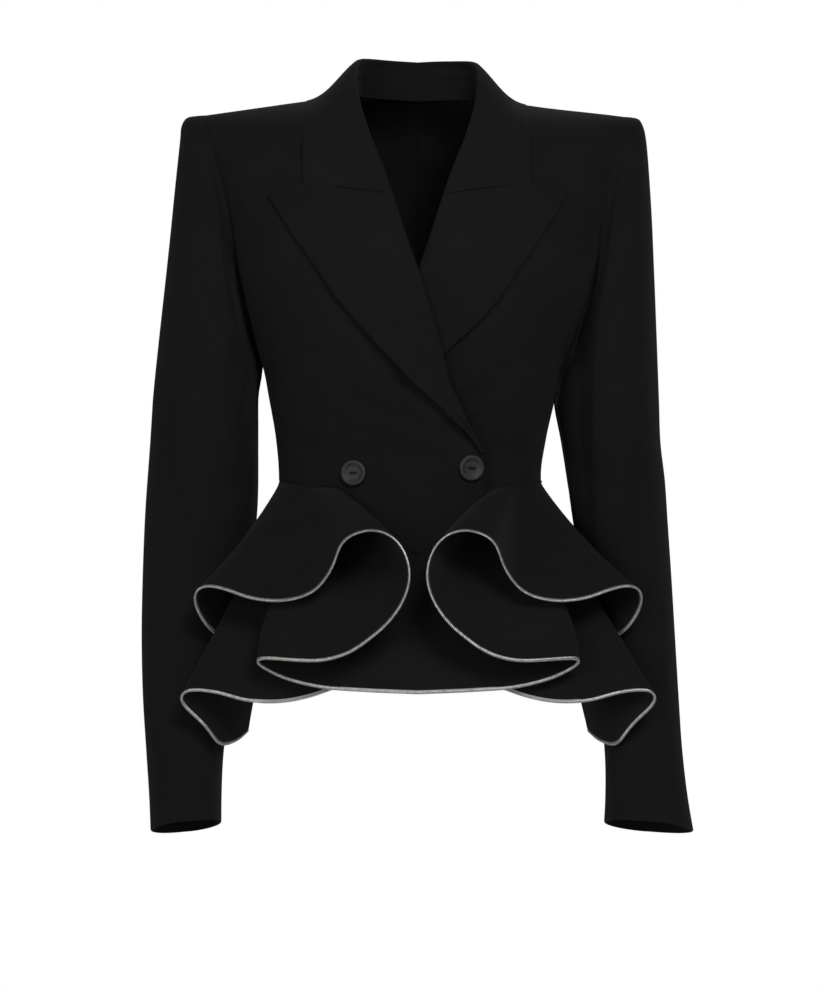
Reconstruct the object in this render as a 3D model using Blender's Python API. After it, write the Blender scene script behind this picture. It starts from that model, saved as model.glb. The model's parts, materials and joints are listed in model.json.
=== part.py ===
# Peplum jacket, double-breasted, with two tiers of flounces at a pointed waist.
# It hangs as worn, with nothing inside. Tables are in millimetres, the scene in metres.
# The front faces -Y, up is +Z, and the origin is between the shoulders.
import math

import bpy
import numpy as np

MM = 0.001

# Cloth and seams
CLOTH = 1.6             # wall of a panel, flounce or sleeve
DOUBLE_CLOTH = 2.0      # wall of a lapel or collar, cloth and its facing
SEAM_GAP = 0.3
LAY_GAP = 1.2           # from a panel up to what lies on it
CENTRE = 0.9            # the line that lapels and flounces mirror about
RIGHT, LEFT = -1, 1     # the wearer's sides

# Body sections
ROUNDNESS = 2.3         # exponent of the oval sections
SIDE_SEAM_Y = 4
SHOULDER_SEAM_Y = 8
NECK_SHOULDER = (60, 14)     # distance from the centre and height
SHOULDER_SLOPE = 0.14
SHOULDER_ROUND = 45          # height in which a panel turns over the shoulder
BUST_RISE, BUST_PLACE, BUST_SPREAD = 6, (70, -178), (44, 58)
UNDERARM, SHOULDER_TIP = -228, -4.2
SIDE_WAIST, BACK_WAIST_DIP = -334.8, 4
NECK_SHARE, BACK_NECK = 0.93, (10, 14)     # share of height where the back neck is cut, its two heights
EDGE_SAMPLES = 181                         # places at which a seam's length is added up
TOP_EXPONENT = 1.9                         # packs a panel's rows towards the shoulder

BODY = {
    "height":     (-420, -370, -333, -297, -261, -228, -200, -170, -140, -109, -72, -40, 0, 24),
    "half_width": (137, 124, 118, 121.5, 128.6, 136, 149, 161, 170, 177, 185, 194, 203, 206),
    "centre":     (1, -3, -6.3, -5.4, -4.4, -3.8, -2.4, -1, 0, 0, 0, 0, 0, 0),
    "front":      (-108, -101, -96, -98, -104, -110, -114, -117, -115, -109, -99, -88, -74, -66),
    "back":       (92, 84, 79, 81, 86, 92, 97, 101, 103, 103, 100, 95, 84, 77),
}
ARMHOLE = {
    "height":   (-228, -200, -170, -140, -109, -72, -40, -19, -4.2),
    "distance": (136, 144.5, 153, 159, 163, 171, 181, 187.5, 190),
}
WAIST_LEVEL = -422.6         # where the front edge starts, below the pointed seam
WAIST = {
    "distance": (-200, 0, 20, 40, 52, 66, 97, 124, 200),
    "height":   (-400.5, -400.5, -384, -365.4, -353.5, -343, -339.3, -334.8, -334.8),
}

# Seams of a panel's grid as (rows, columns, axis that the seam is square to)
SIDE_SEAM = (slice(0, 5), -1, 1)
SHOULDER_SEAM = (-1, slice(None), 1)
CENTRE_SEAM = (slice(None), 0, 0)
SIDE_END = (slice(None), 0, 1)
OTHER_SIDE_END = (slice(None), -1, 1)
CENTRE_END = (slice(None), -1, 0)

# Fronts, lapels and collar. Distances past the centre line are negative.
FRONT_EDGE = {
    "height":   (-420, -345, -309, -276, -245, -214, -183, -152.5, -121.5, -86, -51, -24, 14),
    "distance": (-59, -59, -57.5, -41, -27.5, -20.5, -11.5, -2, 9, 20.6, 33, 44, 60),
}
LAPEL_EDGE = {
    "height":   (-309, -293, -273, -245, -214, -193, -171.5, -142, -114, -80.5),
    "distance": (-56, -47, -27.5, 2, 32.5, 52, 70.5, 91, 111, 131.5),
}
LAPEL_TOP = -79
BREAK = -309
NOTCH = (100, -73.5)
PEAK = (131.5, -80.5)
UNDERLAP_DROP, UNDERLAP_FADE = 7.6, 40
COLLAR = {
    "station":  (0, 1, 2, 3, 4, 5, 6, 7, 8),
    "crease_x": (23, 33, 44, 55, 57.5, 56, 46, 26, 0),
    "crease_y": (0, 0, 0, -48, -18, 12, 40, 58, 64),
    "crease_z": (-78.3, -51, -24, 12, 38, 49, 51, 50, 49),
    "edge_x":   (100, 100.5, 101, 101.5, 101, 93, 74, 42, 0),
    "edge_z":   (-72.8, -49, -27, -5, 11, 3, -12, -20, -22),
    "lift":     (5, 6, 6, 4, -2, -3, -1, 2, 2),     # how far the fall bulges between crease and edge
    "skew":     (0, 0, 0, 2, 5, 5, 2, 0, 0),        # how much fuller it is near the crease
}
COLLAR_ON_FRONT = 3     # the last station that lies on the front
COLLAR_STAND_OFF = 1.0  # the springy collar stands a little further off the shoulder
STAND_INSET, STAND_START = 3.4, 3.6
STAND_FOOT = {"share": (0, 0.12, 0.4, 1), "x": (57, 60, 56, 0), "height": (6, 14, 13, 11)}

# Posture: the wearer's left shoulder comes in a little and sits lower
LEAN = {"x": -3.4, "from": -150, "over": 140, "start": 20, "width": 80}
LOW_SHOULDER = {"drop": 3.4, "start": 10, "over": 60, "back_up": 2.0, "tip_start": 110, "tip_over": 80,
                "from": -90, "height": 90}

# Sleeves
SLEEVE_TOP = -262
CUFF = {"height": -645, "outer": 4, "front": 7}
SLEEVE_HEAD = {"reach": {RIGHT: (9, 18, 22.5, 24), LEFT: (8, 14, 17.8, 20.4)},
                "drop": (0.6, 2.5, 9, 22), "share": (0.04, 0.09, 0.15, 0.24)}
RIGHT_SLEEVE = {
    "height":  (-262, -300, -360, -420, -470, -530, -576, -620, -655),
    "inner":   (143, 143, 144, 151, 158, 167, 174, 176, 176),
    "outer":   (238, 240.5, 245, 247.5, 248.4, 247, 244, 241, 239.5),
    "centre":  (6, 9, 13, 14, 13, 10, 7, 3, 1),
    "depth":   (60, 58, 54, 51, 48, 45, 43, 42, 42),
}
LEFT_SLEEVE = {
    "height":  (-262, -300, -333, -369, -420, -470, -530, -576, -620, -655),
    "inner":   (128.5, 131.5, 135.5, 140.5, 149, 155, 163, 169, 169.5, 167.5),
    "outer":   (218, 219.5, 223.5, 226, 229.5, 232.5, 236, 239, 244, 250),
    "centre":  (6, 9, 12, 13, 14, 13, 10, 7, 3, 1),
    "depth":   (60, 58, 55, 53, 51, 48, 45, 43, 42, 42),
}
UNDER_SLEEVE = (132, 228)    # degrees round from the shoulder, front way first
SLEEVE_SEAM_TURN = 0.4       # degrees that part the two sleeve pieces
TOP_SLEEVE_COLUMNS, UNDER_SLEEVE_COLUMNS = 13, 6
SLEEVE_EASE = 2              # fullness of the sleeve seam where the armhole turns
BELOW_HEAD = 38              # from the sleeve's full width down to the head's last row

# The hems below are laid out on the plane x, z as sighted from the front, from this far away
SIGHT_DISTANCE, SIGHT_X, SIGHT_Z = 5000, -5.85, -345

# Flounces: hem points of the wearer's right side, from the side seam to the centre front.
# seam is the share of the waist seam from side to centre; bow moves the middle of a fold line.
UPPER = (
    # seam     x     y       z    bow_x bow_y bow_z
    (0.000, -147,   15, -483.0,     0,   0,   0),
    (0.030, -151,  -12, -480.5,     0,   0,   0),
    (0.055, -168,  -34, -474.5,     0,   0,   0),
    (0.080, -185,  -50, -465.5,     0,   0,  -2),
    (0.105, -197,  -64, -447.0,     0,   0,  -4),
    (0.130, -199,  -76, -434.0,     0,   0,  -6),
    (0.150, -194,  -86, -427.0,     0,  -2,  -6),
    (0.170, -184,  -93, -426.0,     0,  -3,  -5),
    (0.200, -168, -103, -430.0,     0,  -4,  -3),
    (0.240, -150, -112, -436.5,     0,  -4,   0),
    (0.290, -120, -125, -439.0,     0,  -3,   2),
    (0.340,  -94, -138, -431.0,     0,   0,   3),
    (0.380,  -78, -153, -411.0,     0,   0,   5),
    (0.410,  -69, -171, -388.0,     0,   0,   6),
    (0.440,  -58, -182, -380.0,     0,   0,   6),
    (0.470,  -42, -190, -376.0,     0,   0,   6),
    (0.500,  -28, -188, -379.0,     0,   0,   5),
    (0.525,  -15, -183, -390.0,     0,   0,   4),
    (0.550,   -7, -175, -413.0,     0,   0,   3),
    (0.580,  -11, -165, -436.0,     0,   0,   2),
    (0.610,  -25, -157, -458.0,    -2,   0,   0),
    (0.640,  -43, -149, -474.0,    -4,   0,   0),
    (0.665,  -61, -142, -486.0,    -8,   0,   2),
    (0.690,  -86, -133, -493.0,   -14,  -2,   5),
    (0.715, -126, -119, -491.5,   -20,  -4,   8),
    (0.730, -142, -111, -490.8,   -23,  -3,   9),
    (0.740, -145, -106, -493.5,   -24,   0,   9),
    (0.755, -140, -101, -498.0,   -22,   3,   8),
    (0.780, -122,  -99, -507.5,   -16,   6,   6),
    (0.840,  -88, -104, -516.5,    -8,   5,   3),
    (0.910,  -47, -112, -520.0,    -2,   2,   0),
    (1.000,  0.9, -117, -522.0,     0,   0,   0),
)
LOWER = (
    (0.000, -153,   15, -556.0,     2,   0,   0),
    (0.050, -163,  -12, -564.5,     2,   0,   0),
    (0.090, -178,  -36, -568.0,     2,   0,   0),
    (0.130, -188,  -50, -554.5,     0,   0,   0),
    (0.160, -199,  -57, -543.0,     0,   0,   0),
    (0.190, -208,  -62, -535.0,     0,   0,   0),
    (0.215, -213,  -68, -527.0,     0,   0,   0),
    (0.240, -211,  -74, -521.5,     0,   0,   0),
    (0.265, -203,  -79, -519.5,     0,   0,   0),
    (0.310, -180,  -83, -521.5,     0,   0,   0),
    (0.370, -152,  -84, -529.0,     0,   0,   0),
    (0.440, -121,  -86, -530.0,     0,   0,   0),
    (0.520,  -92,  -89, -524.0,     0,   0,   0),
    (0.620,  -70,  -92, -516.0,     0,   2,   0),
    (0.780,  -38,  -95, -509.0,     0,   2,   0),
    (1.000,  0.9,  -96, -505.0,     0,   0,   0),
)
UNDER_TIER_INSET = 3.4       # how far inside the upper seam the lower tier is sewn
SEAM_DROP = {"upper": 1.3, "lower": 2.6}
# Back hems: two waves a side round an oval, from the side seam to the centre back
UPPER_BACK = {"rear": 152, "wave": 24, "waves": 2, "fall": 4, "lift": 18}
LOWER_BACK = {"rear": 152, "wave": 25, "waves": 2, "fall": 44, "lift": 14}
BACK_FALL_OVER = 0.55        # share of the way round in which a back hem comes up from the side

# Edge trim
TRIM_WIDTH, TRIM_THICK, TRIM_GAP = 3.2, 2.4, 0.7

# Buttons
BUTTONS = {"right": (-55.7, -327), "left": (47.5, -322.5)}
BUTTON_PROFILE = ((0, 2.9), (7.0, 2.9), (8.6, 4.3), (10.4, 4.6), (11.7, 3.4), (11.7, 2.0), (10.6, 1.2),
                  (3.2, 1.2), (3.2, 0.6), (0, 0.6))
BUTTON_SIDES = 24
WELT = {"inner": (115.5, -111), "outer": (140.5, -115), "height": 11, "stand": 1.9}

# Colours
COLOURS = {
    "jacket_crepe": ((0.011, 0.011, 0.012), 0.85, 0.0),
    "edge_trim": ((0.45, 0.44, 0.41), 0.35, 0.8),
    "button_horn": ((0.045, 0.046, 0.048), 0.5, 0.0),
}


def smooth(table, column, at):
    """Smooth curve through one column of a table, which may be read beyond its ends."""
    key = next(iter(table))
    place = np.asarray(table[key], float)
    value = np.asarray(table[column], float)
    if place[0] > place[-1]:
        place, value = place[::-1], value[::-1]
    slope = np.gradient(value, place)
    at = np.asarray(at, float)
    i = np.clip(np.searchsorted(place, at) - 1, 0, len(place) - 2)
    span = place[i + 1] - place[i]
    t = np.clip((at - place[i]) / span, 0, 1)
    start = (1 + 2 * t) * (1 - t) ** 2
    leave = t * (1 - t) ** 2 * span
    end = t * t * (3 - 2 * t)
    arrive = t * t * (t - 1) * span
    return start * value[i] + leave * slope[i] + end * value[i + 1] + arrive * slope[i + 1]


def curve_through(points, samples):
    """Points along a smooth curve through the given rows, spaced by the samples (0 to rows - 1)."""
    points = np.asarray(points, float)
    steps = np.linalg.norm(np.diff(points[:, -3:], axis=0), axis=1) ** 0.5
    knots = np.concatenate([[0], np.cumsum(np.maximum(steps, 1e-6))])
    slopes = np.gradient(points, knots, axis=0)
    at = np.interp(samples, np.arange(len(points)), knots)
    i = np.clip(np.searchsorted(knots, at) - 1, 0, len(points) - 2)
    span = (knots[i + 1] - knots[i])[:, None]
    t = (at[:, None] - knots[i][:, None]) / span
    return ((1 + 2 * t) * (1 - t) ** 2 * points[i] + t * (1 - t) ** 2 * span * slopes[i]
            + t * t * (3 - 2 * t) * points[i + 1] + t * t * (t - 1) * span * slopes[i + 1])


def ease(t):
    t = np.clip(t, 0, 1)
    return t * t * (3 - 2 * t)


def settled(points):
    """The points as the wearer's uneven shoulders carry them."""
    points = np.array(points, float)
    x, z = points[:, 0].copy(), points[:, 2].copy()
    low = LOW_SHOULDER
    drop = low["drop"] * ease((x - low["start"]) / low["over"])
    drop = drop - low["back_up"] * ease((x - low["tip_start"]) / low["tip_over"])
    come_in = ease((z - LEAN["from"]) / LEAN["over"]) * ease((x - LEAN["start"]) / LEAN["width"])
    points[:, 0] = x + LEAN["x"] * come_in
    points[:, 2] = z - drop * ease((z - low["from"]) / low["height"])
    return points


def shoulder_height(x):
    return NECK_SHOULDER[1] - SHOULDER_SLOPE * (np.abs(x) - NECK_SHOULDER[0])


def depth(x, z, front):
    """Y of the body's outer face at x, z: the front's or the back's."""
    x, z = np.broadcast_arrays(np.asarray(x, float), np.asarray(z, float))
    off = x - smooth(BODY, "centre", z)
    across = np.clip(np.abs(off) / smooth(BODY, "half_width", z), 0, 1)
    oval = (1 - across ** ROUNDNESS) ** (1 / ROUNDNESS)
    seam = SIDE_SEAM_Y + (-SEAM_GAP if front else SEAM_GAP) * 0.6
    reach = smooth(BODY, "front" if front else "back", z)
    y = seam + (reach - seam) * oval
    if front:
        bust = ((np.abs(off) - BUST_PLACE[0]) / BUST_SPREAD[0]) ** 2 + ((z - BUST_PLACE[1]) / BUST_SPREAD[1]) ** 2
        y = y - BUST_RISE * np.exp(-bust)
    top = SHOULDER_SEAM_Y + (-SEAM_GAP if front else SEAM_GAP) * 0.6
    t = np.clip((shoulder_height(x) - z) / SHOULDER_ROUND, 0, 1)
    return top + (y - top) * np.sqrt(1 - (1 - t) ** 2)


def panel_point(x, z, front=True, out=0.0):
    """A point of the body's outer face, moved out along its normal."""
    x, z = np.broadcast_arrays(np.asarray(x, float), np.asarray(z, float))
    y = depth(x, z, front)
    step = 1.0
    dx = (depth(x + step, z, front) - depth(x - step, z, front)) / (2 * step)
    dz = (depth(x, z + step, front) - depth(x, z - step, front)) / (2 * step)
    facing = -1 if front else 1
    normal = np.stack([-facing * dx, facing * np.ones_like(y), -facing * dz], -1)
    normal /= np.linalg.norm(normal, axis=-1, keepdims=True)
    return np.stack([x, y, z], -1) + normal * np.asarray(out, float)[..., None]


def underlap(x, z):
    """How far the left front lies inside where the right front covers it."""
    edge = CENTRE - smooth(FRONT_EDGE, "distance", z)
    return -UNDERLAP_DROP * ease((edge + UNDERLAP_FADE - x) / UNDERLAP_FADE)


def armhole_line(side, front, shares):
    """Points of the armhole edge, from the shoulder tip (0) to the underarm (1)."""
    z = np.linspace(SHOULDER_TIP, UNDERARM, EDGE_SAMPLES)
    x = smooth(BODY, "centre", z) + side * smooth(ARMHOLE, "distance", z)
    points = np.stack([x, depth(x, z, front), z], -1)
    run = np.concatenate([[0], np.cumsum(np.linalg.norm(np.diff(points, axis=0), axis=1))])
    at = np.asarray(shares) * run[-1]
    return np.stack([np.interp(at, run, points[:, k]) for k in range(3)], -1)


def grid_normals(grid, seams=()):
    """Normals of a grid; each seam (rows, columns, axis) lies in the plane square to its axis."""
    along = np.gradient(grid, axis=1)
    up = np.gradient(grid, axis=0)
    normal = np.cross(along, up)
    for rows, columns, axis in seams:
        normal[rows, columns, axis] = 0
    return normal / np.maximum(np.linalg.norm(normal, axis=-1, keepdims=True), 1e-9)


def make_object(name, points, faces, material):
    mesh = bpy.data.meshes.new(name)
    mesh.from_pydata([tuple(p) for p in settled(points) * MM], [], faces)
    mesh.materials.append(material)
    mesh.shade_smooth()
    mesh.set_sharp_from_angle(angle=math.radians(50))
    made = bpy.data.objects.new(name, mesh)
    bpy.context.scene.collection.objects.link(made)
    return made


def enclosed(points, faces):
    """Six times the volume that the faces enclose, to see which way they face."""
    total = 0.0
    for face in faces:
        first = points[face[0]]
        for second, third in zip(face[1:-1], face[2:]):
            total += np.dot(first, np.cross(points[second], points[third]))
    return total


def wall(name, grid, material, thick=CLOTH, inward=1, seams=(), normals=None):
    """A closed wall: the grid of rows and columns is its outer face, inward picks the inner side."""
    grid = np.asarray(grid, float)
    rows, columns = grid.shape[:2]
    if normals is None:
        normals = grid_normals(grid, seams)
    inner = grid + normals * thick * inward
    points = np.concatenate([grid.reshape(-1, 3), inner.reshape(-1, 3)])
    shift = rows * columns
    faces = []
    for r in range(rows - 1):
        for c in range(columns - 1):
            a = r * columns + c
            quad = (a, a + 1, a + 1 + columns, a + columns)
            faces.append(quad)
            faces.append(tuple(k + shift for k in reversed(quad)))
    rim = list(range(columns))
    rim += [r * columns + columns - 1 for r in range(1, rows)]
    rim += [(rows - 1) * columns + c for c in range(columns - 2, -1, -1)]
    rim += [r * columns for r in range(rows - 2, 0, -1)]
    for a, b in zip(rim, rim[1:] + rim[:1]):
        faces.append((b, a, a + shift, b + shift))
    if enclosed(points, faces) < 0:
        faces = [tuple(reversed(face)) for face in faces]
    return make_object(name, points, faces, material)


def bar(name, centres, across, thick, material):
    """A four-sided bar along the centres; across and thick are its half axes at each of them."""
    corners = [(1, 1), (1, -1), (-1, -1), (-1, 1)]
    points = np.concatenate([centres + a * across + b * thick for a, b in corners])
    count = len(centres)
    faces = []
    for k in range(4):
        one, two = k * count, (k + 1) % 4 * count
        for i in range(count - 1):
            faces.append((one + i, one + i + 1, two + i + 1, two + i))
    faces.append(tuple(k * count for k in range(4)))
    faces.append(tuple(k * count + count - 1 for k in (3, 2, 1, 0)))
    if enclosed(points, faces) < 0:
        faces = [tuple(reversed(face)) for face in faces]
    return make_object(name, points, faces, material)


def row_of_panel(inner, outer, columns):
    """x and z of one row between two edge points, closer together where the oval turns."""
    shares = []
    for x, z in (inner, outer):
        off = (x - float(smooth(BODY, "centre", z))) / float(smooth(BODY, "half_width", z))
        shares.append(math.copysign(math.asin(min(abs(off), 1) ** (ROUNDNESS / 2)), off))
    angles = np.linspace(shares[0], shares[1], columns)
    t = np.linspace(0, 1, columns)
    z = inner[1] + (outer[1] - inner[1]) * t
    off = np.sign(angles) * np.abs(np.sin(angles)) ** (2 / ROUNDNESS)
    x = smooth(BODY, "centre", z) + off * smooth(BODY, "half_width", z)
    x = x + (inner[0] - x[0]) * (1 - t) + (outer[0] - x[-1]) * t
    z = inner[1] + (outer[1] - inner[1]) * (x - inner[0]) / (outer[0] - inner[0])
    return x, z


def outer_edge(side, front, share):
    """Side seam from the waist up to the underarm, then the armhole up to the shoulder."""
    z = SIDE_WAIST + (SHOULDER_TIP - SIDE_WAIST) * share
    if z <= UNDERARM:
        x = float(smooth(BODY, "centre", z) + side * smooth(BODY, "half_width", z))
    else:
        x = float(smooth(BODY, "centre", z) + side * smooth(ARMHOLE, "distance", z))
    return x, z


def panel_rows():
    """Shares of height for the rows, with one of them exactly at the underarm."""
    underarm = (UNDERARM - SIDE_WAIST) / (SHOULDER_TIP - SIDE_WAIST)
    top = 1 - (1 - np.linspace(0, 1, 11)) ** TOP_EXPONENT
    return np.concatenate([np.linspace(0, underarm, 5)[:-1], underarm + (1 - underarm) * top])


def panel_grid(side, front, columns):
    """Outer face of a front or back panel as rows from the waist seam to the shoulder seam."""
    shares = panel_rows()
    rise = float(smooth(WAIST, "height", -FRONT_EDGE["distance"][0])) - WAIST_LEVEL
    grid = []
    for share in shares:
        if front:
            z = WAIST_LEVEL + (NECK_SHOULDER[1] - WAIST_LEVEL) * share
            edge_z = z + rise * (1 - share) ** 4
            inner = (CENTRE + side * float(smooth(FRONT_EDGE, "distance", edge_z)), z)
        else:
            low, high = SIDE_WAIST - BACK_WAIST_DIP, BACK_NECK[0]
            past = max(0.0, (share - NECK_SHARE) / (1 - NECK_SHARE))
            z = low + (high - low) * min(share / NECK_SHARE, 1) + (BACK_NECK[1] - high) * past
            inner = (CENTRE + side * (SEAM_GAP / 2 + NECK_SHOULDER[0] * past), z)
        x, z = row_of_panel(inner, outer_edge(side, front, share), columns)
        if front:
            if not grid:
                base_x, drop = x, smooth(WAIST, "height", np.abs(x - CENTRE)) - z
            z = z + np.interp(x * side, base_x * side, drop) * (1 - share) ** 4
        if len(grid) == len(shares) - 1:
            z = shoulder_height(x)
        lay = underlap(x, z) if front and side == LEFT else np.zeros_like(x)
        grid.append(panel_point(x, z, front, lay))
    return np.stack(grid)


def lapel_grid(side, rows=14, columns=7):
    """Lapel lying on its front, from the gorge down to the break."""
    grid = []
    for share in np.linspace(0, 0.96, rows):
        roll_z = LAPEL_TOP + (BREAK - LAPEL_TOP) * share
        edge_z = PEAK[1] + (BREAK - PEAK[1]) * share
        roll = float(smooth(FRONT_EDGE, "distance", roll_z)) + 0.6
        edge = float(smooth(LAPEL_EDGE, "distance", edge_z))
        t = np.linspace(0, 1, columns)
        d = roll + (edge - roll) * t
        z = roll_z + (edge_z - roll_z) * t
        notch = (NOTCH[0] - roll) / (PEAK[0] - roll)
        step = np.where(t <= notch, t / notch, (1 - t) / (1 - notch))
        z = z + (NOTCH[1] - LAPEL_TOP) * step * max(0, 1 - share * 6)
        x = CENTRE + side * d
        lay = (0.9 * underlap(x, z) if side == LEFT else 0) + LAY_GAP + DOUBLE_CLOTH
        grid.append(panel_point(x, z, True, lay))
    return np.stack(grid)


def collar_lines(samples):
    """Crease, outer edge and lift of the collar for station samples of one half (0 front, 8 back)."""
    read = {column: smooth(COLLAR, column, samples) for column in COLLAR if column != "station"}
    out = LAY_GAP + DOUBLE_CLOTH
    crease = np.stack([read["crease_x"], read["crease_y"], read["crease_z"]], -1)
    on_front = np.array([panel_point(x, z, True, out) for x, z in zip(read["crease_x"], read["crease_z"])])
    blend = np.clip((samples - 2) / 1.0, 0, 1)[:, None]
    crease = on_front * (1 - blend) + crease * blend
    front = panel_point(read["edge_x"], np.minimum(read["edge_z"], shoulder_height(read["edge_x"])), True, out)
    back = panel_point(read["edge_x"], np.minimum(read["edge_z"], shoulder_height(read["edge_x"])), False, out + 1)
    edge = np.where((samples < 4)[:, None], front, back)
    return crease, edge, read["lift"], read["skew"]


def collar_grid(half=17, columns=7):
    samples = np.linspace(0, 8, half)
    crease, edge, lift, skew = collar_lines(samples)
    t = np.linspace(0, 1, columns)[None, :, None]
    grid = crease[:, None] * (1 - t) + edge[:, None] * t
    away = np.cross(np.gradient(crease, axis=0), edge - crease)
    away /= np.linalg.norm(away, axis=1, keepdims=True)
    outward = np.where((np.sum(away * (edge - [0, 10, 0]), axis=1) > 0)[:, None], away, -away)
    bulge = lift[:, None, None] + skew[:, None, None] * (1 - 2 * t)
    grid = grid + 4 * t * (1 - t) * bulge * outward[:, None]
    out = LAY_GAP + DOUBLE_CLOTH + COLLAR_STAND_OFF
    level = np.minimum(grid[..., 2], shoulder_height(grid[..., 0]))
    chest = panel_point(grid[..., 0], level, True, out)
    on_chest = np.clip(COLLAR_ON_FRONT - samples, 0, 1)[:, None, None]
    grid = chest * on_chest + grid * (1 - on_chest)
    blade = panel_point(grid[..., 0], level, False, out)
    over = grid[..., 2] < shoulder_height(grid[..., 0]) + out
    ahead = over & (grid[..., 1] < SHOULDER_SEAM_Y) & (grid[..., 1] > chest[..., 1])
    behind = over & (grid[..., 1] >= SHOULDER_SEAM_Y) & (grid[..., 1] < blade[..., 1])
    grid = np.where(ahead[..., None], chest, grid)
    grid = np.where(behind[..., None], blade, grid)
    return mirrored_round(grid)


def mirrored_round(half):
    """One half from front to centre back, then the other half, as one run of columns."""
    other = half[::-1][1:].copy()
    other[..., 0] = -other[..., 0]
    run = np.concatenate([half, other])
    run[..., 0] += CENTRE
    return run


def stand_grid(half=9):
    """The stand, inside the collar from just under its crease down to the neckline."""
    samples = np.linspace(STAND_START, 8, half)
    crease = collar_lines(samples)[0]
    middle = np.array([0, 10, 0])
    inward = (middle - crease) * [1, 1, 0]
    inward /= np.linalg.norm(inward, axis=1, keepdims=True)
    top = crease + inward * STAND_INSET - [0, 0, 2.5]
    around = (samples - STAND_START) / (8 - STAND_START)
    x = np.interp(around, STAND_FOOT["share"], STAND_FOOT["x"])
    z = np.interp(around, STAND_FOOT["share"], STAND_FOOT["height"])
    on_front = (around < STAND_FOOT["share"][1])[:, None]
    foot = np.where(on_front, panel_point(x, z, True, 0.0), panel_point(x, z, False, 0.0))
    foot = foot + inward * 3.0 + [0, 0, 1.2]
    t = np.linspace(0, 1, 3)[None, :, None]
    return mirrored_round(top[:, None] * (1 - t) + foot[:, None] * t)


def sleeve_ring(table, side, degrees, z):
    """Points of a sleeve's section; 0 degrees is the outer side, 90 the front."""
    turn = np.radians(degrees)
    inner = smooth(table, "inner", z)
    outer = smooth(table, "outer", z)
    along = np.sign(np.cos(turn)) * np.abs(np.cos(turn)) ** (2 / ROUNDNESS)
    ahead = np.sign(np.sin(turn)) * np.abs(np.sin(turn)) ** (2 / ROUNDNESS)
    x = side * ((inner + outer) / 2 + (outer - inner) / 2 * along)
    y = smooth(table, "centre", z) - smooth(table, "depth", z) * ahead
    return np.stack([x, y, z * np.ones_like(x)], -1)


def sleeve_grid(table, side, degrees, head_rows=7, arm_rows=12):
    """Columns of a sleeve at the given degrees, from the armhole seam to the cuff."""
    degrees = np.asarray(degrees, float)
    front = degrees <= 180
    share = np.where(front, degrees, 360 - degrees) / 180
    seam = np.where(front[:, None], armhole_line(side, True, share), armhole_line(side, False, share))
    reach = np.clip(np.cos(np.radians(degrees)), 0, 1)[:, None]
    sideways = np.array([side, 0, 0])
    start = seam + sideways * (SEAM_GAP + 0.3) - np.array([0, 0, 0.2])
    start = start + sideways * SLEEVE_EASE * (1 - reach) * share[:, None] * (1 - share[:, None])
    ring = sleeve_ring(table, side, degrees, np.full(len(degrees), float(SLEEVE_TOP)))
    path = [start]
    for out, drop, part in zip(SLEEVE_HEAD["reach"][side], SLEEVE_HEAD["drop"], SLEEVE_HEAD["share"]):
        head = start + sideways * out - np.array([0, 0, drop])
        path.append(head * reach + (start + (ring - start) * part) * (1 - reach))
    path.append(0.5 * (path[-1] + ring))
    path.append(ring)
    path.append(sleeve_ring(table, side, degrees, np.full(len(degrees), SLEEVE_TOP - BELOW_HEAD)))
    path = np.stack(path)
    marks = np.concatenate([[0, 1, 2, 3, 4], np.linspace(4, 6, head_rows - 3)[1:]])
    columns = [curve_through(path[:, k], marks) for k in range(len(degrees))]
    head = np.stack(columns, 1)
    turn = np.radians(degrees)
    cuff = CUFF["height"] - CUFF["outer"] * np.cos(turn) + CUFF["front"] * np.sin(turn)
    rows = [sleeve_ring(table, side, degrees, SLEEVE_TOP + (cuff - SLEEVE_TOP) * t)
            for t in np.linspace(0, 1, arm_rows + 1)[1:]]
    return np.concatenate([head, np.stack(rows)])


def seam_line(side, front, shares, inset=0.0, drop=0.0):
    """Points along the waist seam; 0 is the side seam, 1 the centre front or back."""
    turn = np.linspace(math.pi / 2, 0, EDGE_SAMPLES)
    off = side * np.sin(turn) ** (2 / ROUNDNESS)
    z = np.full_like(off, SIDE_WAIST)
    for settle in range(6):
        x = smooth(BODY, "centre", z) + off * smooth(BODY, "half_width", z)
        x = x + (CENTRE - x[-1]) * (1 - np.abs(off)) ** 2
        z = smooth(WAIST, "height", np.abs(x - CENTRE)) if front else SIDE_WAIST - BACK_WAIST_DIP * (1 - np.abs(off))
    points = panel_point(x, z, front, 0.0)
    run = np.concatenate([[0], np.cumsum(np.linalg.norm(np.diff(points, axis=0), axis=1))])
    at = np.asarray(shares) * run[-1]
    line = np.stack([np.interp(at, run, points[:, k]) for k in range(3)], -1)
    toward = (np.array([CENTRE, 0, 0]) - line) * [1, 1, 0]
    toward /= np.linalg.norm(toward, axis=1, keepdims=True)
    return line + toward * inset - [0, 0, drop]


def denser(points, longest):
    """Sample places along a run of rows: every row, and more where two lie far apart."""
    points = np.asarray(points, float)
    marks = []
    for i in range(len(points) - 1):
        length = np.linalg.norm(points[i + 1, 1:4] - points[i, 1:4])
        parts = max(1, round(length / longest))
        marks += [i + k / parts for k in range(parts)]
    return np.array(marks + [len(points) - 1])


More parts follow.
